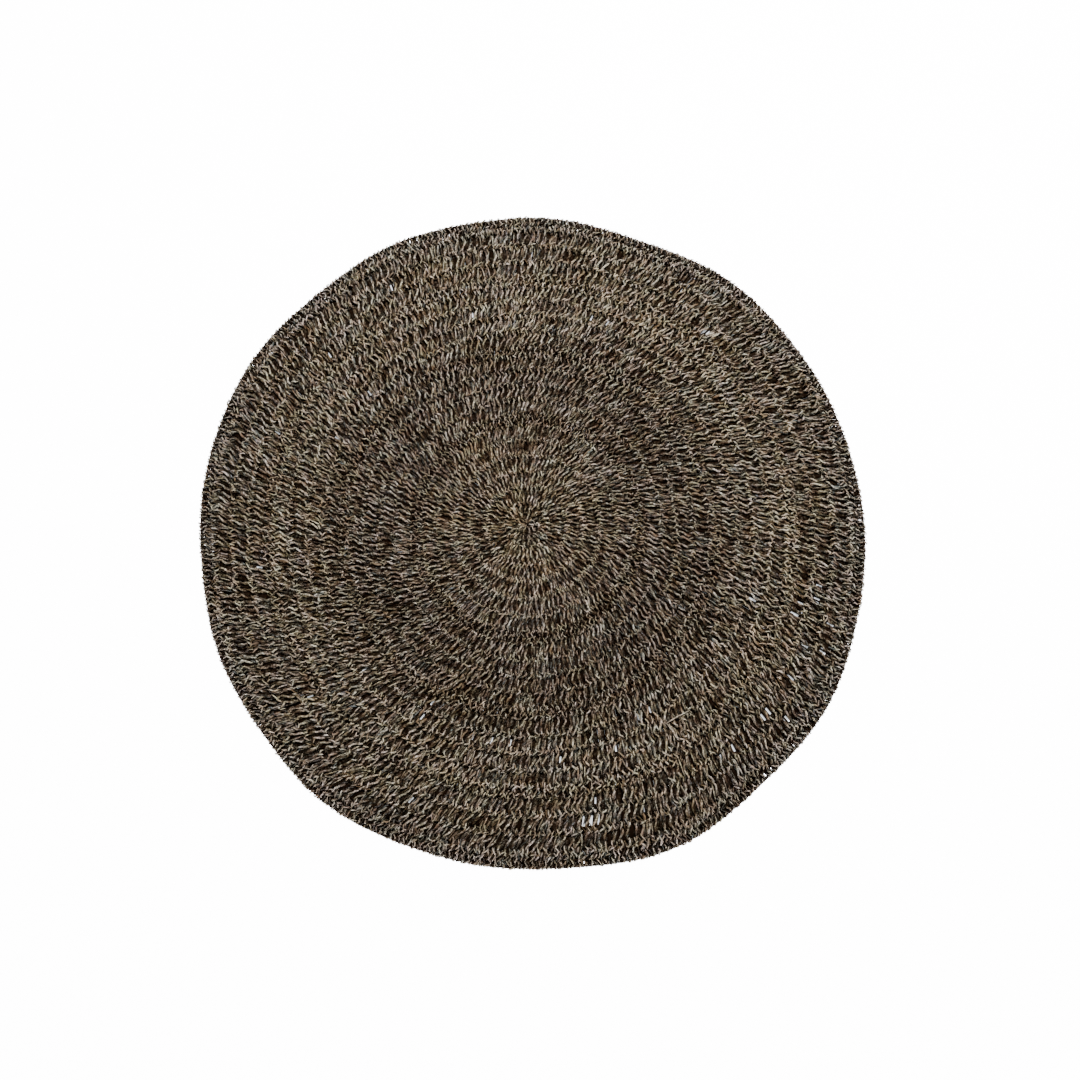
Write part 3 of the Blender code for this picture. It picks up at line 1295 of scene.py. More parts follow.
    def second_strands(self, slot: int) -> Shell:
        """Single plies that show between the legs, in some of the spaces that have no gap.

        Args:
            slot: 0 for natural and 1 for black.

        Returns:
            The strands.
        """
        rng = Chance.SECONDS.source(2 * self.place + slot)
        spaces = np.arange(2 * self.stitches)
        taken = [place % len(spaces) for place, _, _ in self.places()]
        loose = TIGHT_FILL + (1.0 - TIGHT_FILL) * self.looseness**FILL_POWER
        share = np.where(np.isin(spaces, taken), SPARE_FILL, self.fill[slot] * loose)
        chosen = spaces[rng.random(len(spaces)) < share]
        count = len(chosen)
        share = np.linspace(-1.0, 1.0, 3)
        ends = rng.normal(size=(2, count, 1)).clip(-CLOSE_LIMIT, CLOSE_LIMIT)
        start, end = ends * SECOND_ASIDE * self.spacing
        aside = start + (end - start) * (share + 1.0) / 2.0
        aside = aside + rng.normal(size=(count, 1)) * SECOND_BOW * (1.0 - share**2)
        reach = (self.outer - self.inner) * rng.uniform(*SECOND_REACHES, size=(count, 1))
        stray = rng.normal(size=(count, 1)).clip(-CLOSE_LIMIT, CLOSE_LIMIT) * SECOND_STRAY
        radius = self.middle + share * reach + stray
        turn = self.settle(chosen[:, None] * FULL_TURN / len(spaces))
        bearing = turn + (aside - self.lean(turn) * (radius - self.middle)) / radius
        height = SECOND_HEIGHT + rng.normal(size=(count, 1)) * SECOND_LIFT - SECOND_SAG * share**2
        half = SECOND_HALF * (1.0 - SECOND_TAPER * share**2)
        skin = FlatStrands.lay(self.cloth, radius, bearing, height, half, SECOND_THICKNESS)
        tone = self.shade + rng.normal(size=count) * SECOND_TONE
        tint = self.warmth + rng.normal(size=count) * SECOND_TINT
        return FlatStrands(skin, SECOND_SEEDS + 2 * self.place + slot, tone, tint, slot,
                           painted_crest_light=STRAND_PAINTED_LIGHT).shell()

    def head_rows(self) -> list[HeadRow]:
        """The rows of stitch heads on this round."""
        rows = []
        border = self.kind is RoundKind.BORDER
        stray = TIGHT_HEAD_STRAY + LOOSE_HEAD_STRAY * self.looseness
        lean = degrees(atan(float(np.mean(self.lean(np.linspace(0.0, FULL_TURN, LEAN_PLACES))))))
        for index, (share, side) in enumerate(self.form.heads):
            radius = self.inner + (self.outer - self.inner) * share + side * self.form.head_shift
            rim = step_at(radius, HEAD_RIM_STEP)
            spacing = float(np.interp(radius, SPACING_RADII, LEG_SPACINGS))
            spacing = BORDER_SPACING if border else spacing
            slant = HEAD_SLANTS[side > 0.0] * (TIGHT_SLANT + LOOSE_SLANT * self.looseness)
            seed = 4 * self.place + index
            worker = self.after if side > 0.0 else self
            tied = 0.0 if worker is None or share < 1.0 else side * min(1, worker.form.leg_sections)
            turns = self.even_places(radius, spacing, seed)
            if tied:
                turns = worker.leg_lines(radius + side * HEAD_TIE)
            rows.append(
                HeadRow(
                    seed=seed,
                    turns=turns,
                    tied=tied,
                    radius=radius,
                    height=HEAD_HEIGHT - HEAD_RIM_DROP * rim,
                    slant=lean + slant,
                    tone=self.shade + float(np.interp(radius, HEAD_RADII, HEAD_SHADES)),
                    tint=self.warmth + HEAD_WARMTH,
                    stray=BORDER_STRAY if border else stray,
                    size=float(np.clip(spacing / HEAD_SPACING, *HEAD_SIZES)),
                    scatter=BORDER_SCATTER if border else HEAD_SCATTER,
                )
            )
        return rows

    def shells(self) -> list[Shell]:
        """All the strands of the round."""
        shells = [row.shell(slot) for row in self.head_rows() for slot in (0, 1)]
        if self.form.leg_sections:
            shells.append(self.legs().sweep())
            shells += [self.second_strands(slot) for slot in (0, 1)]
        return [shell for shell in shells if len(shell.faces)]


def rounds() -> list[StitchRound]:
    """All the rounds of the rug, from the centre out."""
    inner = (FIRST_RADIUS, *(edge.outer for edge in EDGES))
    found: list[StitchRound] = []
    for place in reversed(range(len(EDGES))):
        edge, after = EDGES[place], found[-1] if found else None
        found.append(StitchRound(place, edge.number, inner[place], edge.outer, edge.kind, after))
    return found[::-1]


def join(shells: Sequence[Shell]) -> Shell:
    """Join shells, and spread their stitches over one shared bake map.

    Args:
        shells: the shells, whose bake places still hold the number of the stitch.

    Returns:
        One shell.
    """
    def every(name: str, add: Iterable[int] | None = None) -> Array:
        """One field of all the shells, with a number added to each shell's values."""
        add = add if add is not None else [0] * len(shells)
        return np.concatenate([getattr(s, name) + more for s, more in zip(shells, add)])

    starts = np.cumsum([0] + [len(s.points) for s in shells])
    firsts = np.cumsum([0] + [int(s.bake[..., 2].max()) + 1 for s in shells])
    cells = int(firsts[-1])
    columns = max(1, round((cells / CELL_SHAPE) ** 0.5))
    rows = -(-cells // columns)
    bakes = []
    for shell, first in zip(shells, firsts):
        cell = shell.bake[..., 2] + first
        x = CELL_MARGIN_X + (1.0 - 2.0 * CELL_MARGIN_X) * shell.bake[..., 0]
        y = CELL_MARGIN_Y + (1.0 - 2.0 * CELL_MARGIN_Y) * shell.bake[..., 1]
        x, y = (cell % columns + x) / columns, (cell // columns + y) / rows
        bakes.append(np.stack((x, y), axis=-1))
    return Shell(every("points"), every("faces", starts), every("slots"), every("fibre"),
                 np.concatenate(bakes), every("sharp", starts), every("tone"), every("tint"))


def mesh_object(name: str, shell: Shell,
                materials: Sequence[bpy.types.Material]) -> bpy.types.Object:
    """Turn a shell into a dressed object in the scene.

    Args:
        name: the object's name.
        shell: its joined shell.
        materials: its materials, in the order of the shell's slots.

    Returns:
        The object.
    """
    mesh = bpy.data.meshes.new(name)
    count = len(shell.faces)
    mesh.vertices.add(len(shell.points))
    mesh.vertices.foreach_set("co", shell.points.astype(np.float32).ravel())
    mesh.loops.add(4 * count)
    mesh.loops.foreach_set("vertex_index", shell.faces.astype(np.int32).ravel())
    mesh.polygons.add(count)
    mesh.polygons.foreach_set("loop_start", np.arange(0, 4 * count, 4, dtype=np.int32))
    mesh.polygons.foreach_set("material_index", shell.slots.astype(np.int32))
    mesh.update(calc_edges=True)
    for title, places in (("fibre", shell.fibre), ("OFBake", shell.bake)):
        layer = mesh.uv_layers.new(name=title)
        layer.uv.foreach_set("vector", places.astype(np.float32).ravel())
    for title, values in (("tone", shell.tone), ("tint", shell.tint)):
        layer = mesh.attributes.new(title, "FLOAT", "POINT")
        layer.data.foreach_set("value", values.astype(np.float32))
    mesh.shade_smooth()
    if len(shell.sharp):
        ends = np.empty(2 * len(mesh.edges), dtype=np.int32)
        mesh.edges.foreach_get("vertices", ends)
        total = len(shell.points)
        keys = np.sort(ends.reshape(-1, 2), axis=1) @ np.array((total, 1), dtype=np.int64)
        creases = np.sort(shell.sharp, axis=1) @ np.array((total, 1), dtype=np.int64)
        edge = mesh.attributes.new("sharp_edge", "BOOLEAN", "EDGE")
        edge.data.foreach_set("value", np.isin(keys, creases))
    for material in materials:
        mesh.materials.append(material)
    thing = bpy.data.objects.new(name, mesh)
    bpy.context.scene.collection.objects.link(thing)
    return thing


class Socket:
    """A shader socket that can be reckoned with. Each sum adds a Math node."""

    def __init__(self, nodes: "Nodes", socket: bpy.types.NodeSocket) -> None:
        """Keep the socket and the nodes that it belongs to."""
        self.nodes = nodes
        self.socket = socket

    def sum(self, operation: str, first: Any, second: Any) -> "Socket":
        """Add one Math node.

        Args:
            operation: what it does.
            first: its first value or socket.
            second: its second value or socket.

        Returns:
            The node's result.
        """
        return self.nodes.add("ShaderNodeMath", {"operation": operation}, {0: first, 1: second})

    def __add__(self, other: Any) -> "Socket":
        """self + other."""
        return self.sum("ADD", self, other)

    def __sub__(self, other: Any) -> "Socket":
        """self - other."""
        return self.sum("SUBTRACT", self, other)

    def __rsub__(self, other: Any) -> "Socket":
        """other - self."""
        return self.sum("SUBTRACT", other, self)

    def __mul__(self, other: Any) -> "Socket":
        """self * other."""
        return self.sum("MULTIPLY", self, other)

    __radd__ = __add__
    __rmul__ = __mul__


class Nodes:
    """The nodes of one material."""

    def __init__(self, name: str) -> None:
        """Make the material, with its shader.

        Args:
            name: the material's name.
        """
        self.material = bpy.data.materials.new(name)
        self.material.use_nodes = True
        self.tree = self.material.node_tree
        self.shader = self.tree.nodes["Principled BSDF"]

    def add(self, kind: str, settings: dict[str, Any], inputs: dict[Any, Any],
            output: Any = 0) -> Socket:
        """Add one node.

        Args:
            kind: the node's type.
            settings: its settings, which are set first. A ramp's stops are pairs.
            inputs: values or sockets by the input's name or place.
            output: name or place of the output that is wanted.

        Returns:
            That output.
        """
        node = self.tree.nodes.new(kind)
        for key, value in settings.items():
            if key == "stops":
                for element, (place, shade) in zip(self.stops(node, len(value)), value):
                    element.position = place
                    element.color = (*shade, 1.0)
            else:
                setattr(node, key, value)
        for key, value in inputs.items():
            self.feed(node.inputs[key], value)
        return Socket(self, node.outputs[output])

    @staticmethod
    def stops(node: bpy.types.Node, count: int) -> Iterable[Any]:
        """A ramp's stops, made up to a number of them."""
        while len(node.color_ramp.elements) < count:
            node.color_ramp.elements.new(1.0)
        return node.color_ramp.elements

    def feed(self, target: bpy.types.NodeSocket, value: Any) -> None:
        """Set an input to a value, or link it to a socket."""
        if isinstance(value, Socket):
            self.tree.links.new(value.socket, target)
        else:
            target.default_value = value

    def mix(self, share: Any, first: Any, second: Any, blend: str = "MIX") -> Socket:
        """Mix two colours.

        Args:
            share: how much of the second.
            first: the first colour.
            second: the second colour.
            blend: how they are mixed.

        Returns:
            The mixed colour.
        """
        settings = {"data_type": "RGBA", "blend_type": blend}
        return self.add("ShaderNodeMix", settings, {0: share, 6: first, 7: second}, output=2)

    def noise(self, place: Socket, scale: float, detail: float) -> Socket:
        """Soft random patches between 0 and 1, with a mean of a half.

        Args:
            place: the coordinates to read them at.
            scale: how many there are in a metre.
            detail: how many finer layers they have.

        Returns:
            The patches' value.
        """
        inputs = {"Vector": place, "Scale": scale, "Detail": detail, "Roughness": 0.5}
        return self.add("ShaderNodeTexNoise", {}, inputs)

    def streaks(self, place: Socket, scale: tuple[float, float], detail: float = 2.0,
                shift: tuple[float, float] = (0.0, 0.0), size: float = 1.0) -> Socket:
        """Random patches that are drawn out one way.

        Args:
            place: the coordinates to read them at.
            scale: how many there are in a metre each way.
            detail: how many finer layers they have.
            shift: what sets them apart from others of their kind.
            size: what both scales are multiplied by after the shift.

        Returns:
            The patches' value.
        """
        inputs = {"Vector": place, "Scale": (*scale, 1.0), "Location": (*shift, 0.0)}
        return self.noise(self.add("ShaderNodeMapping", {}, inputs), size, detail)

    def rise(self, value: Socket, span: tuple[float, float], top: float = 1.0) -> Socket:
        """A straight rise from 0, which stays level before and after.

        Args:
            value: what it depends on.
            span: the values at which it leaves 0 and reaches the top.
            top: how high it rises.

        Returns:
            The rise's value.
        """
        inputs = {"Value": value, "From Min": span[0], "From Max": span[1], "To Max": top}
        return self.add("ShaderNodeMapRange", {}, inputs)

    def point(self, name: str) -> Socket:
        """A value that the mesh keeps at its points."""
        return self.add("ShaderNodeAttribute", {"attribute_name": name}, {}, output="Fac")

    def cast(self, colour: Socket, share: Socket, low: Cast, high: Cast) -> Socket:
        """Give a colour a cast.

        Args:
            colour: the colour.
            share: which cast it gets, from 0 for the low one to 1 for the high one.
            low: the low cast.
            high: the high cast.

        Returns:
            The colour with its cast.
        """
        between = self.mix(self.add("ShaderNodeClamp", {}, {0: share}), low, high)
        return self.mix(1.0, colour, between, blend="MULTIPLY")


# What makes a strand lighter, and by how much: fine fibres, leaves, slow change along it, patches
# of the rug, knots, and painted light on high parts over painted shade on low ones; and what brings
# the sum of all to the middle of the colours
FINE_TONE = 0.35
LEAF_TONE = 0.60
LENGTH_TONE = 0.24
PATCH_TONE = 0.15
KNOT_TONE = 2.10
PAINTED_HEIGHT_LIGHT = 0.26
TONE_LEVEL = 1.365

# Where in that sum the dark, middle and light colours and the painted glints lie
STOPS = (0.20, 0.50, 0.86, 0.98)

# The patterns along and round a strand, in patches to the metre each way: fine fibres, leaves, slow
# change, knots, warm lengths and blushes
FINE_SCALE = (60.0, 900.0)
LEAF_SCALE = (50.0, 330.0)
LENGTH_SCALE = (22.0, 0.0)
KNOT_SCALE = (240.0, 360.0)
WARM_SCALE = (12.0, 60.0)
BLUSH_SCALE = (50.0, 30.0)

# The patterns across the rug, in patches to the metre: tone, warmth and redness
PATCH_SCALE = 26.0
WARMTH_SCALE = 55.0
REDNESS_SCALE = 50.0

# Over which heights the painted light rises, from painted shade on low parts to full on high ones,
# and where in its pattern a length turns warm
PAINTED_LIGHT_HEIGHTS = (0.0050, 0.0135)
WARM_SPAN = (0.58, 0.72)

# How strongly those patterns turn the cast, what brings their sum to the middle, how much less matt
# light fibres are than dark ones, and how much fibres, leaves and knots stand out
WARMTH_SWING = 1.7
WARMTH_LEVEL = 0.43
BLUSH_SWING = 1.2
REDNESS_SWING = 3.4
REDNESS_LEVEL = 1.80
ROUGHNESS_SWING = 0.16
FINE_DEPTH = 0.55
LEAF_DEPTH = 0.35
KNOT_DEPTH = 0.30


@dataclass(frozen=True)
class StrandFinish:
    """The finish of seagrass strands.

    Args:
        name: the material's name.
        dark: colour of its darkest fibres.
        middle: colour of most of it.
        light: colour of its lightest fibres.
        painted_glint: colour of a few still lighter flecks, painted glints on the fibres.
        warm: colour that some short lengths turn to.
        warm_share: how much of it they take.
        roughness: how matt it is.
        gloss: how strongly it reflects.
        depth: how deep its fibres stand out, in metres.
        cool: the cast of its coolest strands.
        warm_cast: the cast of its warmest strands.
        green: the cast of its greenest places.
        red: the cast of its reddest places.
        twist: how far its leaves slant round the strand, in degrees.
    """

    name: str
    dark: Colour
    middle: Colour
    light: Colour
    painted_glint: Colour
    warm: Colour
    warm_share: float
    roughness: float
    gloss: float
    depth: float
    cool: Cast = (0.985, 1.005, 1.10, 1.0)
    warm_cast: Cast = (1.04, 0.99, 0.83, 1.0)
    green: Cast = (0.940, 1.025, 0.97, 1.0)
    red: Cast = (1.060, 0.975, 0.99, 1.0)
    twist: float = 28.0

    def make(self) -> bpy.types.Material:
        """The finished material."""
        nodes = Nodes(self.name)
        strand = nodes.add("ShaderNodeUVMap", {"uv_map": "fibre"}, {})
        spot = nodes.add("ShaderNodeTexCoord", {}, {}, output="Object")
        laid = nodes.add("ShaderNodeMapping", {"vector_type": "TEXTURE"},
                         {"Vector": strand, "Rotation": (0.0, 0.0, radians(self.twist))})
        fine = nodes.streaks(laid, FINE_SCALE, 3.0)
        leaf = nodes.streaks(laid, LEAF_SCALE, shift=(3.0, 9.0))
        length = nodes.streaks(strand, LENGTH_SCALE, shift=(0.0, 4.0))
        patch = nodes.noise(spot, PATCH_SCALE, 2.0)
        knots = nodes.streaks(strand, KNOT_SCALE)
        height = nodes.add("ShaderNodeSeparateXYZ", {}, {0: spot}, output="Z")
        # Painted light and shade by height: the strands are painted darker low down and lighter up
        # high
        painted_height_light = nodes.rise(height, PAINTED_LIGHT_HEIGHTS)
        tone = FINE_TONE * fine + LEAF_TONE * leaf + LENGTH_TONE * length
        tone = tone + PATCH_TONE * patch + KNOT_TONE * knots
        tone = tone + PAINTED_HEIGHT_LIGHT * painted_height_light + nodes.point("tone") - TONE_LEVEL
        stops = tuple(zip(STOPS, (self.dark, self.middle, self.light, self.painted_glint)))
        shade = nodes.add("ShaderNodeValToRGB", {"stops": stops}, {0: tone})
        tint = nodes.streaks(strand, WARM_SCALE, 1.0, (5.0, 2.0))
        turned = nodes.rise(tint, WARM_SPAN, self.warm_share)
        colour = nodes.mix(turned, shade, (*self.warm, 1.0))
        warmth = nodes.point("tint") + WARMTH_SWING * nodes.noise(spot, WARMTH_SCALE, 2.0)
        warmth = warmth - WARMTH_LEVEL
        colour = nodes.cast(colour, warmth, self.cool, self.warm_cast)
        blush = nodes.streaks(strand, BLUSH_SCALE, 1.0, (8.0, 6.0))
        apart = nodes.streaks(spot, (1.0, 1.0), shift=(3.0, 7.0), size=REDNESS_SCALE)
        redness = BLUSH_SWING * blush + REDNESS_SWING * apart - REDNESS_LEVEL
        colour = nodes.cast(colour, redness, self.green, self.red)
        nodes.feed(nodes.shader.inputs["Base Color"], colour)
        nodes.feed(nodes.shader.inputs["Roughness"],
                   self.roughness + ROUGHNESS_SWING * (0.5 - fine))
        nodes.shader.inputs["Specular IOR Level"].default_value = self.gloss
        relief = FINE_DEPTH * fine + LEAF_DEPTH * leaf + KNOT_DEPTH * knots
        bump = nodes.add("ShaderNodeBump", {},
                         {"Strength": 1.0, "Distance": self.depth, "Height": relief},
                         output="Normal")
        nodes.feed(nodes.shader.inputs["Normal"], bump)
        return nodes.material


NATURAL = StrandFinish(
    "natural_seagrass",
    dark=(0.058, 0.034, 0.017),
    middle=(0.184, 0.149, 0.107),
    light=(0.440, 0.380, 0.304),
    painted_glint=(0.760, 0.665, 0.540),
    warm=(0.290, 0.195, 0.122),
    warm_share=0.60,
    roughness=0.66,
    gloss=0.30,
    depth=0.0010,
)
BLACK = StrandFinish(
    "black_seagrass",
    dark=(0.0100, 0.0032, 0.0008),
    middle=(0.0580, 0.0392, 0.0245),
    light=(0.1800, 0.1440, 0.1080),
    painted_glint=(0.2600, 0.2200, 0.1800),
    warm=(0.0360, 0.0190, 0.0095),
    warm_share=0.4,
    roughness=0.72,
    gloss=0.08,
    depth=0.0010,
    cool=(0.84, 1.02, 1.36, 1.0),
    warm_cast=(1.08, 0.98, 0.72, 1.0),
    green=(0.89, 1.04, 1.00, 1.0),
    red=(1.07, 0.975, 0.96, 1.0),
)
# The strands behind the legs are real, but their finish is darker than either ply: painted shade
# where they lie behind the legs
BACKING = StrandFinish(
    "back_strand_painted_shade",
    dark=(0.0085, 0.0024, 0.0004),
    middle=(0.0200, 0.0102, 0.0048),
    light=(0.1000, 0.0720, 0.0480),
    painted_glint=(0.1300, 0.1000, 0.0700),
    warm=(0.0360, 0.0190, 0.0095),
    warm_share=0.4,
    roughness=0.80,
    gloss=0.05,
    depth=0.0010,
    cool=(0.80, 1.02, 1.40, 1.0),
    warm_cast=(1.00, 0.98, 0.76, 1.0),
    green=(0.89, 1.04, 1.00, 1.0),
    red=(1.04, 0.98, 0.96, 1.0),
)


@dataclass(frozen=True)
class Band:
    """A run of neighbouring rounds, worked as one piece.

    Args:
        name: the piece's name.
        first: its innermost round.
        last: its outermost round.
    """

    name: str
    first: str
    last: str

    def build(self, every: Sequence[StitchRound],
              materials: Sequence[bpy.types.Material]) -> bpy.types.Object:
        """Work the band and dress it.

        Args:
            every: all the rounds of the rug.
            materials: natural and black.

        Returns:
            The band.
        """
        names = [stitch_round.number for stitch_round in every]
        chosen = every[names.index(self.first):names.index(self.last) + 1]
        shells = [shell for stitch_round in chosen for shell in stitch_round.shells()]
        if self.name == LOOSE_BAND:
            shells += [strand.shell() for strand in LOOSE_STRANDS]
        return mesh_object(self.name, join(shells), materials)


BANDS = (
    Band("band_middle", "0", "7"),
    Band("band_second", "8", "10"),
    Band("band_third", "b", "12"),
    Band("band_fourth", "13", "14"),
    Band("band_fifth", "c", "15"),
    Band("band_sixth", "16", "17"),
    Band("band_border", "d", "e"),
)


@dataclass(frozen=True)
class LooseStrand:
    """A flat strand that has come loose and lies straight across the stitches.

    Args:
        start: where it starts, from above.
        end: where it ends.
        width: its width.
        tone: how light it is.
        thickness: its thickness.
        height: height of its middle.
        sag: how much lower its ends are.
        bend: how far its middle lies to the side.
        taper: how much narrower its ends are, as a share.
        rings: how many rings it has.
        step: about how far apart they are.
    """

    start: tuple[float, float]
    end: tuple[float, float]
    width: float = 0.0034
    tone: float = 0.12
    thickness: float = 0.0010
    height: float = 0.0146
    sag: float = 0.0016
    bend: float = 0.0010
    taper: float = 0.7
    rings: int = 7
    step: float = 0.010

    def shell(self) -> Shell:
        """The strand, bent a little and tucked in at both ends."""
        share = np.linspace(0.0, 1.0, self.rings)
        start, end = np.array(self.start), np.array(self.end)
        ahead = (end - start) / np.linalg.norm(end - start)
        side = np.array((-ahead[1], ahead[0]))
        bend = self.bend * np.sin(pi * share)
        middle = start + (end - start) * share[:, None] + bend[:, None] * side
        half = self.width / 2.0 * (1.0 - self.taper * np.abs(2.0 * share - 1.0) ** 3)
        height = self.height - self.sag * (2.0 * share - 1.0) ** 2
        corners = []
        for aside, over in CORNERS:
            flat = middle + aside * half[:, None] * side
            lift = height + over * self.thickness / 2.0
            corners.append(np.column_stack((flat, lift)))
        skin = np.stack(corners, axis=1)[None]
        return FlatStrands(skin, LOOSE_SEED, np.array((self.tone,)), step=self.step).shell()


LOOSE_BAND = "band_fifth"
LOOSE_STRANDS = (
    LooseStrand(start=(0.2850, -0.4480), end=(0.3390, -0.4190)),
    LooseStrand(start=(0.2880, -0.4460), end=(0.3120, -0.4820)),
)


@dataclass(frozen=True)
class BackStrands:
    """The strands that run behind the legs. They close the cloth where it isn't open to the floor.

    Args:
        width: usual width of the strands behind a round.
        pitch: the spacing at which they have it.
        thickness: thickness of all the strands.
        height: height of the middles of those behind a round.
        side_width: width of those beside a gap.
        reach: where they start, have their middle and end, as shares of the round's width.
        past: how far those beside a gap reach past its ends.
        open: the share of a gap's length that is left open either way from its middle.
        nearest: how near the centre they may come.
        narrowing: how narrow and how wide those behind a round may be, as shares of their width.
        stray: how far they stray sideways, and up or down.
        tone_change: how much lighter or darker than their round they are.
        ring_segments: lengths in the strand under the edge of a round.
        ring_reach: how far each reaches either way, as a share of their spacing.
        ring_width: its width.
        ring_height: height of its middle.
    """

    width: float = 0.0150
    pitch: float = 0.0134
    thickness: float = 0.0022
    height: float = 0.0024
    side_width: float = 0.0044
    reach: tuple[float, float, float] = (-0.03, 0.5, 1.03)
    past: float = 0.03
    open: float = 0.44
    nearest: float = 0.001
    narrowing: tuple[float, float] = (0.3, 1.2)
    stray: float = 0.0002
    tone_change: float = 0.08
    ring_segments: int = 60
    ring_reach: float = 0.52
    ring_width: float = 0.0066
    ring_height: float = 0.0046

    def of_round(self, stitch_round: StitchRound) -> Shell:
        """The strands behind one round, one between each two legs.

        Args:
            stitch_round: the round.

        Returns:
            Flat closed strands. Beside a gap there are two short ones in place of a long one.
        """
        count = 2 * stitch_round.stitches
        spacing = FULL_TURN / count
        inner, outer = stitch_round.inner, stitch_round.outer
        rows = [(number * spacing, 0.0, 0.0, *self.reach) for number in range(count)]
        for place, _, gap in stitch_round.places():
            part = self.open * gap.along / (outer - inner)
            turn, _, _, start, _, end = rows[place % count]
            low, high = 0.5 - part, 0.5 + part
            rows[place % count] = (turn, 0.0, 0.0, start, (start + low) / 2.0, low)
            rows.append((turn, 0.0, 0.0, high, (end + high) / 2.0, end))
            aside = OPENNESS * gap.across / 2.0 + self.side_width / 2.0
            for side in (-aside, aside):
                rows.append((turn, side, self.side_width, low - self.past, 0.5, high + self.past))
        table = np.array(rows)
        rng = Chance.BACKING.source(stitch_round.place)
        turn, aside, narrow, reach = table[:, :1], table[:, 1:2], table[:, 2:3], table[:, 3:]
        turn = stitch_round.settle(turn)
        rim = stitch_round.cloth.radius - BACK_INSET
        radius = np.clip(inner + (outer - inner) * reach, self.nearest, rim)
        slant = stitch_round.lean(turn) * (radius - stitch_round.middle)
        jitter = rng.normal(size=turn.shape) * self.stray
        bearing = turn + (aside + jitter - slant) / radius
        room = np.clip(FULL_TURN * radius / count / self.pitch, *self.narrowing)
        half = np.where(narrow > 0.0, narrow, self.width * room) / 2.0
        lift = self.height + rng.normal(size=turn.shape) * self.stray
        tone = rng.normal(size=turn.shape) * self.tone_change + stitch_round.shade
        skin = FlatStrands.lay(stitch_round.cloth, radius, bearing, lift, half, self.thickness)
        return FlatStrands(skin, stitch_round.place, tone).shell()

    def under_edge(self, stitch_round: StitchRound) -> Shell:
        """The strand that runs round under the outer edge of a round.

        Args:
            stitch_round: the round.

        Returns:
            The strand in short closed lengths, end to end.
        """
        count = self.ring_segments
        step = FULL_TURN / count
        ends = np.array((-self.ring_reach, 0.0, self.ring_reach))
        turn = (np.arange(count)[:, None] + ends) * step
        rim = stitch_round.cloth.radius - BACK_INSET - self.ring_width / 2.0
        middle = min(stitch_round.outer, rim)
        rng = Chance.RINGS.source(stitch_round.place)
        radius = np.full(turn.shape, middle)
        tone = stitch_round.shade + rng.normal(size=count) * self.tone_change
        skin = FlatStrands.lay(stitch_round.cloth, radius, turn, self.ring_height,
                               self.ring_width / 2.0, self.thickness)
        return FlatStrands(skin, EDGE_SEEDS + stitch_round.place, tone).shell()

    def build(self, every: Sequence[StitchRound], material: bpy.types.Material) -> bpy.types.Object:
        """Make the strands behind all the rounds.

        Args:
            every: all the rounds.
            material: their material.

        Returns:
            The piece.
        """
        shells = [self.of_round(stitch_round) for stitch_round in every]
        shells += [self.under_edge(stitch_round) for stitch_round in every]
        return mesh_object("back_strands", join(shells), (material,))


@dataclass(frozen=True)
class Rug:
    """The whole rug: its bands of cord and the strands behind them.

    Args:
        flat: how long and how wide it is when it lies flat. Not used.
        area: its area. Not used.
    """

    flat: float = 1.50
    area: float = 1.767

    def build(self) -> list[bpy.types.Object]:
        """Work the rug, dress it and tie it to the frame.

        Returns:
            The rug's pieces.
        """
        every = rounds()
        natural, black, backing_in_painted_shade = NATURAL.make(), BLACK.make(), BACKING.make()
        back = BackStrands().build(every, backing_in_painted_shade)
        bands = [band.build(every, (natural, black)) for band in BANDS]
        for piece in (back, *bands):
            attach(piece, BODY)
            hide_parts(NODE)
            log.info("%s: %d triangles", piece.name, 2 * len(piece.data.polygons))
        return [back, *bands]


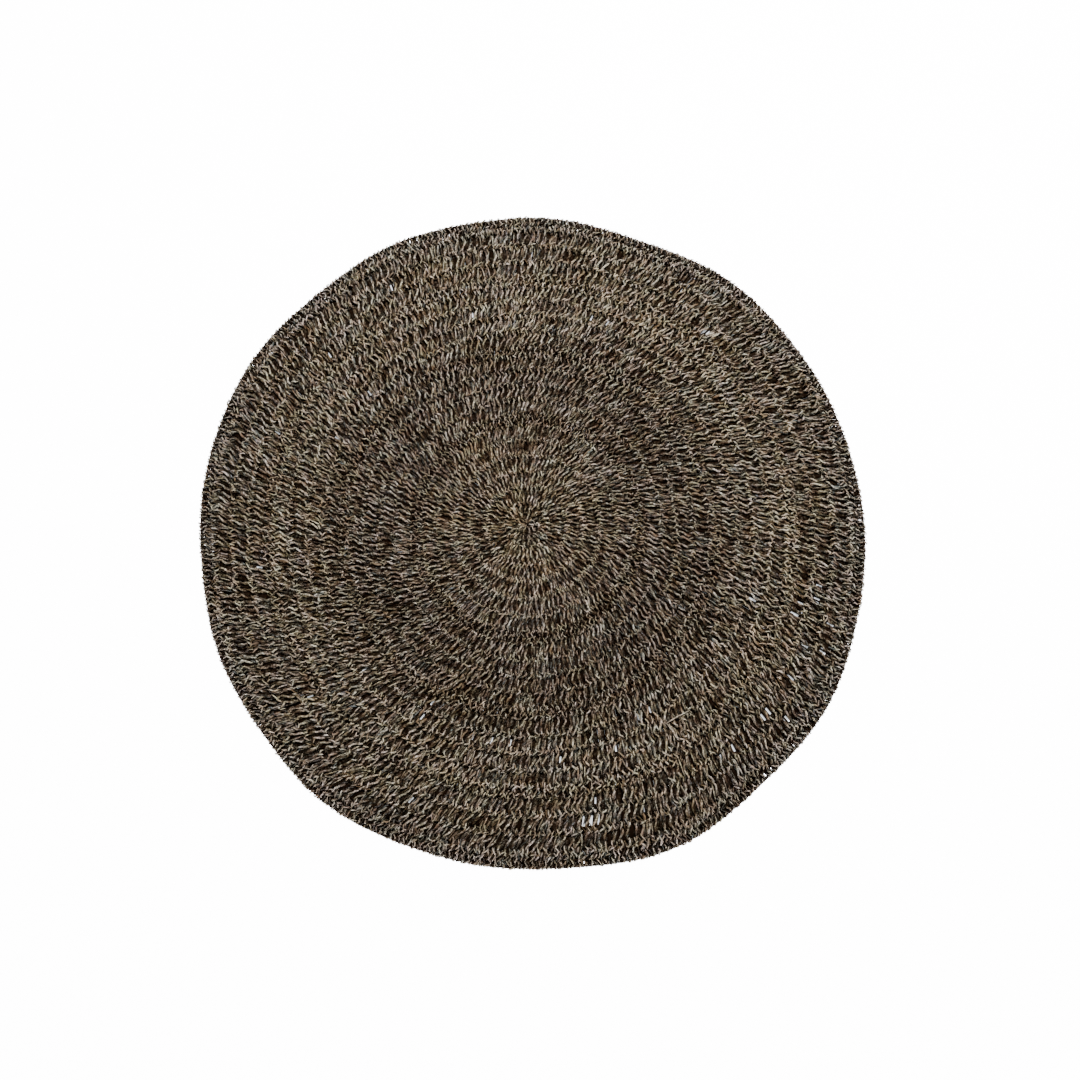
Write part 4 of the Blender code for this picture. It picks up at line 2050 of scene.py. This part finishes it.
@dataclass(frozen=True)
class Studio:
    """The pale floor, the soft light and the camera.

    Args:
        target: where the middle of the view meets the floor.
        tilt: degrees that the view leans from straight down.
        distance: from the camera to the target.
        lens: focal length, in millimetres.
        sensor: width of the sensor, in millimetres.
        clip: how near and how far the camera sees.
        floor_half: half the floor's width.
        floor_white: how pale the floor is.
        floor_roughness: how matt it is.
        floor_gloss: how strongly it reflects.
        floor_glow: how strongly it shines.
        floor_painted_shadow: colour of its shine under the rug, dimmed there as a painted shadow.
        floor_painted_shadow_edge: how far out that painted shadow reaches, and where the floor has
            its full shine.
        room_glow: how bright the room is.
        lamp_size: how wide the lamp is.
        lamp_power: its power, in watts.
        lamp_place: where it hangs.
    """

    target: tuple[float, float] = (0.01725, -0.04335)
    tilt: float = 11.2
    distance: float = 2.07
    lens: float = 30.8
    sensor: float = 36.0
    clip: tuple[float, float] = (0.05, 60.0)
    floor_half: float = 6.0
    floor_white: float = 0.88
    floor_roughness: float = 0.9
    floor_gloss: float = 0.1
    floor_glow: float = 14.0
    floor_painted_shadow: Colour = (0.040, 0.0425, 0.0445)
    floor_painted_shadow_edge: tuple[float, float] = (0.700, 0.745)
    room_glow: float = 0.20
    lamp_size: float = 0.9
    lamp_power: float = 270.0
    lamp_place: tuple[float, float, float] = (0.55, 1.75, 3.6)

    def camera(self) -> None:
        """Look down on the rug as the photograph does."""
        data = bpy.data.cameras.new("camera")
        data.lens = self.lens
        data.sensor_width = self.sensor
        data.clip_start, data.clip_end = self.clip
        camera = bpy.data.objects.new("camera", data)
        bpy.context.scene.collection.objects.link(camera)
        tilt = radians(self.tilt)
        target = Vector((*self.target, 0.0))
        camera.location = target + self.distance * Vector((0.0, -sin(tilt), cos(tilt)))
        camera.rotation_euler = (tilt, 0.0, 0.0)
        bpy.context.scene.camera = camera

    def floor(self) -> None:
        """Lay the pale floor."""
        half = self.floor_half
        mesh = bpy.data.meshes.new("floor")
        corners = [(-half, -half, 0.0), (half, -half, 0.0), (half, half, 0.0), (-half, half, 0.0)]
        mesh.from_pydata(corners, [], [(0, 1, 2, 3)])
        nodes = Nodes("floor_paint")
        nodes.shader.inputs["Base Color"].default_value = (*(self.floor_white,) * 3, 1.0)
        nodes.shader.inputs["Roughness"].default_value = self.floor_roughness
        nodes.shader.inputs["Specular IOR Level"].default_value = self.floor_gloss
        spot = nodes.add("ShaderNodeTexCoord", {}, {}, output="Object")
        away = nodes.add("ShaderNodeVectorMath", {"operation": "LENGTH"}, {0: spot}, output="Value")
        # Painted shadow: the floor's shine is dimmed under the rug and reaches its full strength
        # beyond it
        clear = nodes.rise(away, self.floor_painted_shadow_edge)
        glow = nodes.mix(clear, (*self.floor_painted_shadow, 1.0), (1.0, 1.0, 1.0, 1.0))
        nodes.feed(nodes.shader.inputs["Emission Color"], glow)
        nodes.shader.inputs["Emission Strength"].default_value = self.floor_glow
        mesh.materials.append(nodes.material)
        floor = bpy.data.objects.new("floor", mesh)
        bpy.context.scene.collection.objects.link(floor)

    def lights(self) -> None:
        """Hang one wide soft light overhead, and fill the room with a pale glow."""
        world = bpy.data.worlds.new("room")
        world.use_nodes = True
        glow = world.node_tree.nodes["Background"]
        glow.inputs["Color"].default_value = (1.0, 1.0, 1.0, 1.0)
        glow.inputs["Strength"].default_value = self.room_glow
        bpy.context.scene.world = world
        data = bpy.data.lights.new("overhead", "AREA")
        data.shape = "DISK"
        data.size = self.lamp_size
        data.energy = self.lamp_power
        lamp = bpy.data.objects.new("overhead", data)
        lamp.location = self.lamp_place
        lamp.rotation_euler = (-lamp.location).to_track_quat("-Z", "Y").to_euler()
        bpy.context.scene.collection.objects.link(lamp)

    def build(self) -> None:
        """Set up the whole studio."""
        self.camera()
        self.floor()
        self.lights()


def main() -> None:
    """Build the rug and the studio."""
    logging.basicConfig(level=logging.INFO, format="%(name)s: %(message)s")
    Rug().build()
    Studio().build()


if __name__ == "__main__":
    main()
